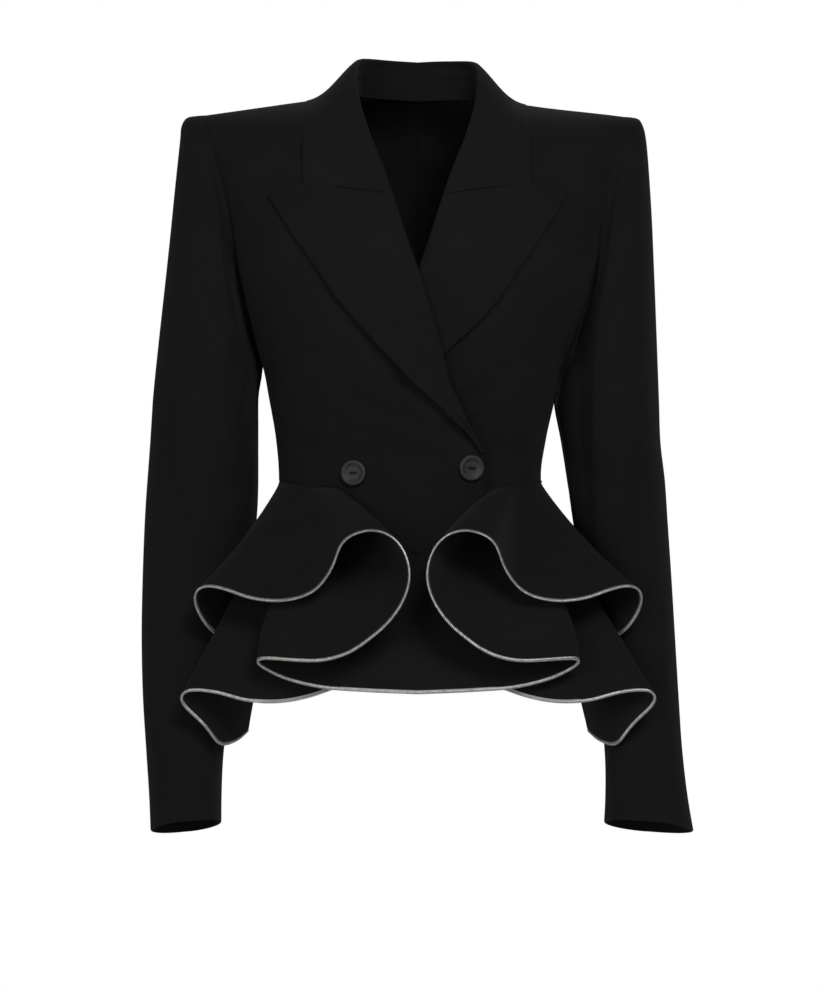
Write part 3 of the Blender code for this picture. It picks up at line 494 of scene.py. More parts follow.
def bodyDepth(x, z, front):
    # how far forward or back the cloth lies at x, z, with its folds and the crease beside the armhole
    x, z = np.broadcast_arrays(np.asarray(x, float), np.asarray(z, float))
    off = x - smooth(body, "middle", z)
    across = np.clip(np.abs(off) / smooth(body, "half", z), 0, 1)
    oval = (1 - across ** cloth["round"]) ** (1 / cloth["round"])
    facing = -1 if front else 1
    seam = bodyShape["sideSeamY"]
    y = seam + (smooth(body, "front" if front else "back", z) - seam) * oval
    if front:
        rise, placeX, placeZ, spreadX, spreadZ = bodyShape["bust"]
        y = y - rise * np.exp(-((np.abs(off) - placeX) / spreadX) ** 2 - ((z - placeZ) / spreadZ) ** 2)
    calm = ease((1 - across) / 0.08)  # folds die out at the side seam
    y = y + facing * foldHeight(frontFolds if front else backFolds, x, z) * calm * cloth["foldGain"]
    fromSeam = np.maximum(smooth(armhole, "distance", z) - np.abs(off), 0) / creaseSpread
    y = y - facing * smooth(armCrease, "depth", z) * np.exp(-fromSeam * fromSeam)
    top = bodyShape["shoulderSeamY"]
    t = np.clip((shoulderHeight(x) - z) / bodyShape["turn"], 0, 1)
    return top + (y - top) * np.sqrt(1 - (1 - t) ** 2)


def bodyPoint(x, z, front=True, out=0.0):
    x, z = np.broadcast_arrays(np.asarray(x, float), np.asarray(z, float))
    y = bodyDepth(x, z, front)
    dx = (bodyDepth(x + 1, z, front) - bodyDepth(x - 1, z, front)) / 2
    dz = (bodyDepth(x, z + 1, front) - bodyDepth(x, z - 1, front)) / 2
    facing = -1 if front else 1
    normal = unit(np.stack([-facing * dx, facing * np.ones_like(y), -facing * dz], -1))
    return np.stack([x, y, z], -1) + normal * np.asarray(out, float)[..., None]


lapShape = {"drop": 7.6, "fade": 40}


def underlap(x, z):
    # how far the left front lies in under the right one
    edge = centre - smooth(frontEdge, "distance", z)
    return -lapShape["drop"] * ease((edge + lapShape["fade"] - x) / lapShape["fade"])


def waistHeight(x):
    # height of the pointed waist seam; the shorter left half reaches the same height at its side
    d = np.abs(x - centre)
    return smooth(waist, "height", d + 13 * ease((d - 66) / 45) * (x > centre))


def rowOfPanel(inner, outer, columns):
    shares = []
    for x, z in (inner, outer):
        off = (x - float(smooth(body, "middle", z))) / float(smooth(body, "half", z))
        shares.append(math.copysign(math.asin(min(abs(off), 1) ** (cloth["round"] / 2)), off))
    angles = np.linspace(shares[0], shares[1], columns)
    t = np.linspace(0, 1, columns)
    z = inner[1] + (outer[1] - inner[1]) * t
    off = np.sign(angles) * np.abs(np.sin(angles)) ** (2 / cloth["round"])
    x = smooth(body, "middle", z) + off * smooth(body, "half", z)
    x = x + (inner[0] - x[0]) * (1 - t) + (outer[0] - x[-1]) * t
    z = inner[1] + (outer[1] - inner[1]) * (x - inner[0]) / (outer[0] - inner[0])
    return x, z


def outerEdge(side, share):
    z = bodyShape["sideWaist"] + (bodyShape["tip"] - bodyShape["sideWaist"]) * share
    if z <= bodyShape["underarm"]:
        return float(smooth(body, "middle", z) + side * smooth(body, "half", z)), z
    return float(smooth(body, "middle", z) + side * smooth(armhole, "distance", z)), z


stripSteps = np.array([0.35, 0.7, 1])  # points along the strip behind a roll
lapel = {
    "top": -82.2, "break": -309, "notch": (100, -71.8), "peak": (131.5, -80.5),
    "roll": 3.7,  # radius at the roll line
    "tuck": 3.2,  # the front's own edge stops this far inside the roll
    "tuckBelow": 2, "tuckOver": 7, "tuckTop": -6, "tuckFade": 16,
    "leastWidth": 3.4, "puff": 1.6, "underCollar": 1.1, "inside": 13, "underlap": 0.9,
    "rows": 84, "columns": 30, "rollSteps": 9,
    # what is left of the roll and of the strip inside at the break
    "breakRoll": 0.45, "breakInside": 0.08,
    # shares of the lapel's length over which each of these grows or fades
    "rollOver": 0.25, "puffOver": 0.2, "collarOver": 0.15, "insideOver": 0.22, "notchOver": 1 / 6,
    "edge": {
        "height": (-309, -293, -273, -245, -214, -193, -171.5, -142, -114, -80.5),
        "distance": (-56, -47, -27.5, 2, 32.5, 52, 70.5, 91, 111, 131.5),
    },
    # how far the free edge stands off along the lapel, from peak to break
    "lift": {"share": (0, 0.12, 0.3, 0.5, 0.7, 0.88, 1), "Right": (1.2, 0.6, 0.8, 2.2, 3.6, 2.6, 0.4),
             "Left": (1.2, 0.6, 0.7, 1.2, 1.4, 0.8, 0)},
}


def frontPanel(side, rows=96, columns=78):
    grid = []
    rise = float(smooth(waist, "height", -frontEdge["distance"][0])) - bodyShape["edgeBottom"]
    for share in 1 - (1 - np.linspace(0, 1, rows)) ** cloth["rowEase"]:
        z = bodyShape["edgeBottom"] + (bodyShape["neckZ"] - bodyShape["edgeBottom"]) * share
        edgeZ = z + rise * (1 - share) ** cloth["waistFade"]
        tuck = lapel["tuck"] * float(ease((edgeZ - lapel["break"] + lapel["tuckBelow"]) / lapel["tuckOver"]))
        tuck *= float(1 - ease((edgeZ - lapel["tuckTop"]) / lapel["tuckFade"]))
        inner = (centre + side * (float(smooth(frontEdge, "distance", edgeZ)) + tuck), z)
        x, z = rowOfPanel(inner, outerEdge(side, share), columns)
        if not grid:
            baseX, drop = x, waistHeight(x) - z
        z = z + np.interp(x * side, baseX * side, drop) * (1 - share) ** cloth["waistFade"]
        if len(grid) == rows - 1:
            z = shoulderHeight(x)
        lay = underlap(x, z) if side == leftSide else np.zeros_like(x)
        grid.append(bodyPoint(x, z, True, lay))
    grid = np.stack(grid)
    grid[0, -7:, :2] = grid[1, -7:, :2]  # the side corner stands straight below the row above it
    return grid


def backPanel(side, rows=84, columns=52):
    grid = []
    low, high = bodyShape["sideWaist"] - bodyShape["backDip"], bodyShape["backNeckLow"]
    for share in 1 - (1 - np.linspace(0, 1, rows)) ** cloth["rowEase"]:
        past = max(0.0, (share - bodyShape["neckShare"]) / (1 - bodyShape["neckShare"]))
        z = low + (high - low) * min(share / bodyShape["neckShare"], 1) + (bodyShape["neckZ"] - high) * past
        inner = (centre + side * (bodyShape["neckX"] * past - cloth["overlap"]), z)
        x, z = rowOfPanel(inner, outerEdge(side, share), columns)
        if len(grid) == rows - 1:
            z = shoulderHeight(x)
        grid.append(bodyPoint(x, z, False, 0.0))
    grid = np.stack(grid)
    grid[0, -5:, :2] = grid[1, -5:, :2]  # as on the front
    return grid


# the back and front panels of each side
for side in (rightSide, leftSide):
    word, node = sideWords[side], nodeWords[side]
    grid = backPanel(side)
    piece = shell("back" + word, grid, crepe, cloth["wall"], towardAxis(grid))
    finishPiece(piece, "jacket_crepe", "back_" + node)
    grid = frontPanel(side)
    piece = shell("front" + word, grid, crepe, cloth["wall"], towardAxis(grid))
    finishPiece(piece, "jacket_crepe", "front_" + node)


def lapelGrid(side):
    # the lapel from its free edge in to the roll, round the roll and a little way in behind the front
    word = sideWords[side]
    grid = []
    for share in np.linspace(0, 1, lapel["rows"]):
        rollZ = lapel["top"] + (lapel["break"] - lapel["top"]) * share
        edgeZ = lapel["peak"][1] + (lapel["break"] - lapel["peak"][1]) * share
        roll = float(smooth(frontEdge, "distance", rollZ))
        edge = max(float(smooth(lapel["edge"], "distance", edgeZ)), roll + lapel["leastWidth"])
        opened = float(ease((1 - share) / lapel["rollOver"]))
        radius = lapel["roll"] * (lapel["breakRoll"] + (1 - lapel["breakRoll"]) * opened)
        radius = min(radius, (edge - roll) / 2)
        t = np.linspace(1, 0, lapel["columns"])
        d = roll + radius + (edge - roll - radius) * t
        z = rollZ + (edgeZ - rollZ) * t
        notch = (lapel["notch"][0] - roll) / (lapel["peak"][0] - roll)
        step = np.where(t <= notch, t / notch, (1 - t) / (1 - notch))
        z = z + (lapel["notch"][1] - lapel["top"]) * step * max(0, 1 - share / lapel["notchOver"])
        base = cloth["layGap"] + cloth["double"]
        lift = float(np.interp(share, lapel["lift"]["share"], lapel["lift"][word]))
        puff = lapel["puff"] * float(ease((1 - share) / lapel["puffOver"]))
        puff += lapel["underCollar"] * float(1 - ease(share / lapel["collarOver"]))
        out = base + puff * (1 - t) ** 2 + lift * t ** 3
        angle = np.linspace(0, math.pi, lapel["rollSteps"] + 1)[1:]
        half = (out[-1] + cloth["wall"] + 0.7) / 2
        opened = float(ease((1 - share) / lapel["insideOver"]))
        inside = lapel["inside"] * (lapel["breakInside"] + (1 - lapel["breakInside"]) * opened)
        d = np.concatenate([d, roll + radius * (1 - np.sin(angle)), roll + radius + stripSteps * inside])
        out = np.concatenate([out, out[-1] - half * (1 - np.cos(angle)), np.full(3, out[-1] - 2 * half)])
        z = np.concatenate([z, np.full(len(angle) + 3, z[-1])])
        x = centre + side * d
        lay = lapel["underlap"] * underlap(x, z) if side == leftSide else 0
        grid.append(bodyPoint(x, z, True, out + lay))
    return np.stack(grid)


for side in (rightSide, leftSide):
    word, node = sideWords[side], nodeWords[side]
    grid = lapelGrid(side)
    normal = gridNormals(grid)[20, 6]
    piece = shell("lapel" + word, grid, crepeFacing, cloth["double"], 1 if normal[1] > 0 else -1)
    finishPiece(piece, "jacket_crepe", "lapel_" + node)

print("collar")

collar = {
    "station": (0, 1, 2, 3, 4, 5, 6, 7, 8),
    "creaseX": (21.4, 33, 44, 55, 57.5, 56, 46, 26, 0),
    "creaseY": (0, 0, 0, -48, -18, 12, 40, 58, 64),
    "creaseZ": (-83.5, -51, -24, 12, 38, 49, 51, 50, 49),
    "edgeX": (100, 100.5, 101, 101.5, 101, 93, 74, 42, 0),
    "edgeZ": (-72.8, -49, -27, -5, 11, 3, -12, -20, -22),
    "lift": (5, 6, 6, 4, -2, -3, -1, 2, 2),  # how far the fall bulges between crease and edge
    "skew": (0, 0, 0, 2, 5, 5, 2, 0, 0),  # how much fuller it is near the crease
}
collarShape = {
    "half": 72, "columns": 26, "roll": 3.4, "rollSteps": 9, "rollHalf": (3.6, 3.2), "inside": 12,
    "standOff": 1.0, "onFront": 3, "passes": 60,
    # stations at which the collar changes, and over how many of them
    "leavesChest": 2, "overShoulder": 3.6, "softened": 1.4, "changeOver": 0.8, "turnsDown": 2.6,
    "turnOver": 1.2, "stripShort": 2.9, "shortOver": 0.75, "shortBy": 0.92,
    "nearAbove": 6, "nearOver": 12,  # how near the shoulder the fall begins to be eased up
}
stand = {"start": 3.6, "share": (0, 0.12, 0.4, 1), "x": (57, 60, 56, 0), "height": (6, 14, 13, 11), "in": 5.0}


def standFoot(samples):
    around = np.clip((samples - stand["start"]) / (8 - stand["start"]), 0, 1)
    x = np.interp(around, stand["share"], stand["x"])
    z = np.interp(around, stand["share"], stand["height"])
    onFront = (around < stand["share"][1])[:, None]
    return np.where(onFront, bodyPoint(x, z, True, 0.0), bodyPoint(x, z, False, 0.0))


def collarHalf():
    # one half of the collar: outer edge, fall, roll and the strip inside the neck
    samples = np.linspace(0, 8, collarShape["half"])
    read = {column: smooth(collar, column, samples) for column in collar if column != "station"}
    out = cloth["layGap"] + cloth["double"]
    crease = np.stack([read["creaseX"], read["creaseY"], read["creaseZ"]], -1)
    onFront = bodyPoint(read["creaseX"], read["creaseZ"], True, out)
    blend = ease(samples - collarShape["leavesChest"])[:, None]
    crease = onFront * (1 - blend) + crease * blend
    level = np.minimum(read["edgeZ"], shoulderHeight(read["edgeX"]))
    front = bodyPoint(read["edgeX"], level, True, out)
    back = bodyPoint(read["edgeX"], level, False, out + 1)
    over = ease((samples - collarShape["overShoulder"]) / collarShape["changeOver"])[:, None]
    edge = front * (1 - over) + back * over
    away = unit(np.cross(np.gradient(crease, axis=0), edge - crease))
    outward = np.where((np.sum(away * (edge - [0, 10, 0]), axis=1) > 0)[:, None], away, -away)
    t = np.linspace(1, 0, collarShape["columns"])[None, :, None]
    across = unit(edge - crease)
    radius = collarShape["roll"]
    first = crease + across * radius
    fall = first[:, None] * (1 - t) + edge[:, None] * t
    bulge = read["lift"][:, None, None] - read["skew"][:, None, None] * (2 * t - 1)
    fall = fall + 4 * t * (1 - t) * bulge * outward[:, None]
    out = out + collarShape["standOff"]
    top = shoulderHeight(fall[..., 0])
    level = np.minimum(fall[..., 2], top)
    chest = bodyPoint(fall[..., 0], level, True, out)
    blade = bodyPoint(fall[..., 0], level, False, out)
    onChest = np.clip(collarShape["onFront"] - samples, 0, 1)[:, None, None]
    puff = (1 - t) ** 2 * lapel["puff"] * outward[:, None]
    fall = (chest + puff) * onChest + fall * (1 - onChest)
    # where the fall would sink into the shoulders it is eased up onto them
    near = ease((top + out + collarShape["nearAbove"] - fall[..., 2]) / collarShape["nearOver"])[..., None]
    ahead = (fall[..., 1] < bodyShape["shoulderSeamY"])[..., None]
    sunkFront = np.maximum(fall[..., 1] - chest[..., 1], 0)[..., None] * near * ahead
    sunkBack = np.maximum(blade[..., 1] - fall[..., 1], 0)[..., None] * near * (1 - ahead)
    fall = fall + (sunkBack - sunkFront) * np.array([0, 1, 0])
    soft = fall.copy()
    loose = ease((samples - collarShape["softened"]) / collarShape["changeOver"])[:, None, None]
    soften(soft, collarShape["passes"])
    fall = fall * (1 - loose) + soft * loose
    angle = np.linspace(0, math.pi, collarShape["rollSteps"] + 1)[1:][None, :, None]
    start = fall[:, -1]
    ahead = unit(fall[:, -1] - fall[:, -2])
    normal = unit(outward - ahead * np.sum(outward * ahead, axis=1, keepdims=True))
    # lets the roll turn evenly from the chest up the neck
    soften(normal, collarShape["passes"])
    soften(ahead, collarShape["passes"])
    ahead = unit(ahead)
    normal = unit(normal - ahead * np.sum(normal * ahead, axis=1, keepdims=True))
    half = np.where(samples < collarShape["onFront"], *collarShape["rollHalf"])[:, None, None]
    roll = start[:, None] + ahead[:, None] * radius * np.sin(angle)
    roll = roll - normal[:, None] * half * (1 - np.cos(angle))
    foot = standFoot(samples) + unit((np.array([0, 10, 0]) - crease) * [1, 1, 0]) * stand["in"]
    down = unit(foot - roll[:, -1])
    turn = ease((samples - collarShape["turnsDown"]) / collarShape["turnOver"])[:, None]
    inside = unit(-ahead * (1 - turn) + down * turn)
    # the strip is short where it turns down
    away = (samples - collarShape["stripShort"]) / collarShape["shortOver"]
    less = collarShape["shortBy"] * np.exp(-away ** 2)
    reach = collarShape["inside"] * (1 - less)[:, None, None]
    strip = roll[:, -1][:, None] + inside[:, None] * reach * stripSteps[None, :, None]
    return samples, np.concatenate([fall, roll, strip], axis=1), foot


def bothHalves(half):
    other = half[::-1][1:].copy()
    other[..., 0] = -other[..., 0]
    run = np.concatenate([half, other])
    run[..., 0] += centre
    return run


samples, half, foot = collarHalf()
grid = bothHalves(half)
normal = gridNormals(grid)[len(grid) // 2, 6]
piece = shell("collarFall", grid, crepeFacing, cloth["double"], 1 if normal[1] < 0 else -1)
finishPiece(piece, "jacket_crepe", "collar")

keep = samples >= stand["start"]
t = np.linspace(0, 1, 14)[None, :, None]
face = half[keep][:, -1][:, None] * (1 - t) + foot[keep][:, None] * t
grid = bothHalves(face)
normal = gridNormals(grid)[len(grid) // 2, 6]
piece = shell("collarStand", grid, crepeFacing, cloth["double"], 1 if normal[1] > 0 else -1)
finishPiece(piece, "jacket_crepe", "collar_stand")

print("sleeves")

sleeve = {
    "top": -262, "cuffHeight": -645, "cuffOuter": 4, "cuffFront": 7, "ease": 2, "belowHead": 38,
    "reach": {rightSide: (9, 18, 22.5, 24), leftSide: (8, 14, 17.8, 20.4)},
    "drop": (0.6, 2.5, 9, 22), "share": (0.04, 0.09, 0.15, 0.24),
    "full": (0, 0, 2, 3),  # how far the sleeve rounds up beside the low part of its seam
    "fullFrom": 0.3, "fullOver": 0.3, "fullEnd": 0.12, "fullOut": 0.2, "foldRows": 9,
    "sinkOver": 0.07, "sinkCalm": (4, 14), "sinkBack": 0.5,  # how the recess beside the body begins and fades
    "lap": 1.6, "under": (132, 228), "topColumns": 121, "underColumns": 41, "headRows": 30, "armRows": 84,
}
sleeveShape = {
    "Right": {
        "height": (-262, -300, -360, -420, -470, -530, -576, -620, -655),
        "inner": (143, 143, 144, 151, 158, 167, 174, 176, 176),
        "outer": (238, 240.5, 245, 247.5, 248.4, 247, 244, 241, 239.5),
        "middle": (6, 9, 13, 14, 13, 10, 7, 3, 1),
        "depth": (60, 58, 54, 51, 48, 45, 43, 42, 42),
    },
    "Left": {
        "height": (-262, -300, -333, -369, -420, -470, -530, -576, -620, -655),
        "inner": (124.5, 130.5, 135.5, 140.5, 149, 155, 163, 169, 169.5, 167.5),
        "outer": (218, 219.5, 223.5, 226, 229.5, 232.5, 236, 239, 244, 250),
        "middle": (6, 9, 12, 13, 14, 13, 10, 7, 3, 1),
        "depth": (60, 58, 55, 53, 51, 48, 45, 43, 42, 42),
    },
}
# where the sleeve sinks back beside the body: from the line out to far, how deep and how soft its far edge is
sleeveRecess = {
    "Right": {
        "height": (-340, -300, -262, -240, -228, -200, -170, -140, -109, -72, -40, -4),
        "line": (143, 143, 143, 137.5, 136, 144.5, 153, 159, 163, 171, 181, 190),
        "far": (160, 159, 158, 154, 153, 161, 169, 174, 178, 184, 191, 197),
        "depth": (0, 3, 8, 14, 19, 22, 20, 15, 9, 5, 2, 0), "soft": 0.75,
    },
    "Left": {
        "height": (-430, -369, -333, -300, -262, -240, -228, -200, -170, -140, -109, -72, -40, -4),
        "line": (149, 140.5, 135.5, 130.5, 124.5, 130, 136, 144.5, 153, 159, 163, 171, 181, 190),
        "far": (164, 161, 159, 158, 158, 158, 158, 159.5, 164, 170, 175, 182, 190, 197),
        "depth": (0, 4, 10, 17, 25, 27, 28, 25, 17, 10, 6, 3, 1, 0), "soft": 0.4,
    },
}
# folds of the sleeves: degrees round from the outer side (90 is the front), height, rise, twice, then width
sleeveFolds = {
    "Right": (
        (150, -200, -2.0, 95, -262, -0.6, 9), (160, -226, 1.4, 110, -292, 0.6, 10),
        (148, -330, -1.8, 80, -356, -0.4, 8), (150, -346, 1.2, 86, -374, 0.4, 9),
        (142, -392, -1.4, 70, -372, -0.4, 8), (40, -390, -0.8, 75, -430, -0.8, 10),
        (120, -470, -0.8, 60, -500, -0.4, 10), (150, -560, -1.0, 90, -585, -0.4, 9),
        (250, -340, -1.6, 300, -372, -0.5, 10), (245, -360, 1.2, 300, -396, 0.4, 10),
        (210, -392, -1.4, 268, -402, -0.6, 9), (20, -120, -0.8, 40, -230, -0.8, 14),
    ),
    "Left": (
        (152, -196, -2.0, 100, -250, -0.6, 9), (158, -222, 1.4, 112, -280, 0.6, 10),
        (150, -316, -1.6, 84, -352, -0.5, 9), (146, -336, 1.1, 88, -370, 0.4, 9),
        (140, -402, -1.5, 66, -384, -0.4, 8), (44, -420, -0.8, 70, -470, -0.7, 11),
        (130, -520, -0.8, 70, -548, -0.4, 10), (140, -600, -0.8, 84, -622, -0.3, 9),
        (250, -352, -1.6, 300, -380, -0.5, 10), (246, -372, 1.1, 302, -402, 0.4, 10),
        (214, -300, -1.2, 262, -318, -0.6, 9), (16, -140, -0.8, 30, -240, -0.8, 14),
        (168, -238, 4.5, 164, -256, 4.0, 9),
    ),
}


def armholeLine(side, front, shares):
    z = np.linspace(bodyShape["tip"], bodyShape["underarm"], 241)
    x = smooth(body, "middle", z) + side * smooth(armhole, "distance", z)
    points = np.stack([x, bodyDepth(x, z, front), z], -1)
    return atShares(points, shares)


def sleeveRing(side, degrees, z):
    shape = sleeveShape[sideWords[side]]
    turn = np.radians(degrees)
    inner, outer = smooth(shape, "inner", z), smooth(shape, "outer", z)
    along = np.sign(np.cos(turn)) * np.abs(np.cos(turn)) ** (2 / cloth["round"])
    ahead = np.sign(np.sin(turn)) * np.abs(np.sin(turn)) ** (2 / cloth["round"])
    wide, deep = (outer - inner) / 2, smooth(shape, "depth", z)
    x = side * ((inner + outer) / 2 + wide * along)
    y = smooth(shape, "middle", z) - deep * ahead
    return np.stack([x, y, z * np.ones_like(x)], -1)


def sleeveGrid(side, degrees):
    degrees = np.asarray(degrees, float)
    front = degrees <= 180
    share = np.where(front, degrees, 360 - degrees) / 180
    seam = np.where(front[:, None], armholeLine(side, True, share), armholeLine(side, False, share))
    reach = np.clip(np.cos(np.radians(degrees)), 0, 1)[:, None]
    turn = np.radians(degrees)
    sideways = np.array([side, 0, 0])
    start = seam - sideways * 0.5
    start = start + sideways * sleeve["ease"] * (1 - reach) * share[:, None] * (1 - share[:, None])
    ring = sleeveRing(side, degrees, sleeve["top"])
    low = ease((share - sleeve["fullFrom"]) / sleeve["fullOver"]) * ease((1 - share) / sleeve["fullEnd"])
    over = np.stack([sleeve["fullOut"] * side + 0 * turn, -np.sign(np.sin(turn)), 0 * turn], -1)
    over = over * low[:, None]
    path = [start]
    for out, drop, part, full in zip(sleeve["reach"][side], sleeve["drop"], sleeve["share"], sleeve["full"]):
        head = start + sideways * out - np.array([0, 0, drop])
        path.append(head * reach + (start + (ring - start) * part + over * full) * (1 - reach))
    path += [0.5 * (path[-1] + ring), ring, sleeveRing(side, degrees, sleeve["top"] - sleeve["belowHead"])]
    path = np.stack(path)
    marks = np.concatenate([np.linspace(0, 4, 21), np.linspace(4, 6, sleeve["headRows"])[1:]])
    head = np.stack([curveThrough(path[:, k], marks) for k in range(len(degrees))], 1)
    cuff = sleeve["cuffHeight"] - sleeve["cuffOuter"] * np.cos(turn) + sleeve["cuffFront"] * np.sin(turn)
    rows = [sleeveRing(side, degrees, sleeve["top"] + (cuff - sleeve["top"]) * t)
            for t in np.linspace(0, 1, sleeve["armRows"] + 1)[1:]]
    grid = np.concatenate([head, np.stack(rows)])
    folds = [(a, b * 0.5, c, d, e * 0.5, f, g) for a, b, c, d, e, f, g in sleeveFolds[sideWords[side]]]
    rise = foldHeight(folds, np.broadcast_to(degrees, grid.shape[:2]), grid[..., 2] * 0.5)
    rise = rise * ease(np.arange(len(grid)) / sleeve["foldRows"])[:, None]
    around = np.stack([side * np.cos(turn), -np.sin(turn), 0 * turn], -1)
    grid = grid + rise[..., None] * around
    recess = sleeveRecess[sideWords[side]]
    line, far, depth = (smooth(recess, column, grid[..., 2]) for column in ("line", "far", "depth"))
    along = (side * grid[..., 0] - line) / (far - line)
    ahead = smooth(sleeveShape[sideWords[side]], "middle", grid[..., 2]) - grid[..., 1]
    calmFrom, calmOver = sleeve["sinkCalm"]
    grid[..., 1] += (depth * ease(along / sleeve["sinkOver"]) * ease((1 - along) / recess["soft"])
                     * np.sign(ahead) * ease((np.abs(ahead) - calmFrom) / calmOver)
                     * np.where(ahead > 0, 1, sleeve["sinkBack"]))
    return grid


for side in (rightSide, leftSide):
    word, node = sideWords[side], nodeWords[side]
    first, second = sleeve["under"]
    lap = sleeve["lap"]
    for part, degrees in (("Top", np.linspace(second - 360, first, sleeve["topColumns"])),
                          ("Under", np.linspace(first - lap, second + lap, sleeve["underColumns"]))):
        grid = sleeveGrid(side, degrees % 360)
        r, c = grid.shape[0] - 30, grid.shape[1] // 2
        shape = sleeveShape[word]
        z = grid[r, c, 2]
        axis = np.array([side * float(smooth(shape, "inner", z) + smooth(shape, "outer", z)) / 2,
                         float(smooth(shape, "middle", z)), z])
        inward = 1 if np.dot(gridNormals(grid)[r, c], axis - grid[r, c]) > 0 else -1
        piece = shell("sleeve" + part + word, grid, crepe, cloth["wall"], inward)
        finishPiece(piece, "jacket_crepe", "sleeve_" + part.lower() + "_" + node)

print("flounces")

sight = {"distance": 5000, "x": -5.85, "z": -345}  # the hems below are laid out as seen from here
upperHem = (
    # share of the waist seam, then x, y, z of the hem, then the bow of the line between them
    (0.000, -147, 15, -483.0, 0, 0, 0),
    (0.030, -151, -12, -480.5, 0, 0, 0),
    (0.055, -168, -34, -474.5, 0, 0, 0),
    (0.080, -185, -50, -465.5, 0, 0, -2),
    (0.105, -197, -64, -447.0, 0, 0, -4),
    (0.130, -199, -76, -434.0, 0, 0, -6),
    (0.150, -194, -86, -427.0, 0, -2, -6),
    (0.170, -184, -93, -426.0, 0, -3, -5),
    (0.200, -168, -103, -430.0, 0, -4, -3),
    (0.240, -150, -112, -436.5, 0, -4, 0),
    (0.290, -120, -125, -439.0, 0, -3, 2),
    (0.340, -94, -138, -431.0, 0, 0, 3),
    (0.380, -78, -153, -411.0, 0, 0, 5),
    (0.410, -69, -171, -388.0, 0, 0, 6),
    (0.440, -58, -182, -380.0, 0, 0, 6),
    (0.470, -42, -190, -376.0, 0, 0, 6),
    (0.500, -28, -188, -379.0, 0, 0, 5),
    (0.525, -15, -183, -390.0, 0, 0, 4),
    (0.550, -7, -175, -413.0, 0, 0, 3),
    (0.580, -11, -165, -436.0, 0, 0, 2),
    (0.610, -25, -157, -458.0, -2, 0, 0),
    (0.640, -43, -149, -474.0, -4, 0, 0),
    (0.665, -61, -142, -486.0, -8, 0, 2),
    (0.690, -86, -133, -493.0, -14, -2, 5),
    (0.715, -126, -119, -491.5, -20, -4, 8),
    (0.730, -142, -111, -490.8, -23, -3, 9),
    (0.740, -145, -106, -493.5, -24, 0, 9),
    (0.755, -140, -101, -498.0, -22, 3, 8),
    (0.780, -122, -99, -507.5, -16, 6, 6),
    (0.840, -88, -104, -516.5, -8, 5, 3),
    (0.910, -47, -112, -520.0, -2, 2, 0),
    (1.000, 0.9, -117, -522.0, 0, 0, 0),
)
lowerHem = (
    (0.000, -153, 15, -556.0, 2, 0, 0),
    (0.050, -163, -12, -564.5, 2, 0, 0),
    (0.090, -178, -36, -568.0, 2, 0, 0),
    (0.130, -188, -50, -554.5, 0, 0, 0),
    (0.160, -199, -57, -543.0, 0, 0, 0),
    (0.190, -208, -62, -535.0, 0, 0, 0),
    (0.215, -213, -68, -527.0, 0, 0, 0),
    (0.240, -211, -74, -521.5, 0, 0, 0),
    (0.265, -203, -79, -519.5, 0, 0, 0),
    (0.310, -180, -83, -521.5, 0, 0, 0),
    (0.370, -152, -84, -529.0, 0, 0, 0),
    (0.440, -121, -86, -530.0, 0, 0, 0),
    (0.520, -92, -89, -524.0, 0, 0, 0),
    (0.620, -70, -92, -516.0, 0, 2, 0),
    (0.780, -38, -95, -509.0, 0, 2, 0),
    (1.000, 0.9, -96, -505.0, 0, 0, 0),
)
tiers = {
    "Upper": {"hem": upperHem, "cuts": {"Front": (0.47, 0.47, 0.128), "Back": (0.27, 0.17, 0.0345)},
              "inset": 0.0, "drop": 0.2, "rear": 152, "wave": 24, "fall": 4, "lift": 18},
    "Lower": {"hem": lowerHem, "cuts": {"Front": (0.33, 0.25, 0.047), "Back": (0.28, 0.235, 0.043)},
              "inset": 3.8, "drop": 2.6, "rear": 152, "wave": 25, "fall": 44, "lift": 14},
}
flounce = {
    "spacing": 3.6, "rows": 34, "backRows": 26, "backColumns": 90, "waves": 2, "backBow": 6, "backRise": 0.55,
    "hemPasses": 6,  # take the last unevenness out of the hem's curve
    "tuck": ((4.6, 2.4), (3.2, 1.4), (1.8, 0.4)),  # how far in and up the seam allowance lies
}
trim = {"width": 3.9, "thick": 2.4, "gap": 0.2, "pitch": 1.9, "groove": 0.34, "sides": 10, "square": 0.7}


def seamLine(side, front, shares, inset, drop):
    turn = np.linspace(math.pi / 2, 0, 361)
    off = side * np.sin(turn) ** (2 / cloth["round"])
    z = np.full_like(off, bodyShape["sideWaist"])
    for settle in range(6):
        x = smooth(body, "middle", z) + off * smooth(body, "half", z)
        x = x + (centre - x[-1]) * (1 - np.abs(off)) ** 2
        dip = bodyShape["sideWaist"] - bodyShape["backDip"] * (1 - np.abs(off))
        z = waistHeight(x) if front else dip
    points = bodyPoint(x, z, front, 0.0)
    line = atShares(points, shares)
    return line + unit((np.array([centre, 0, 0]) - line) * [1, 1, 0]) * inset - [0, 0, drop]


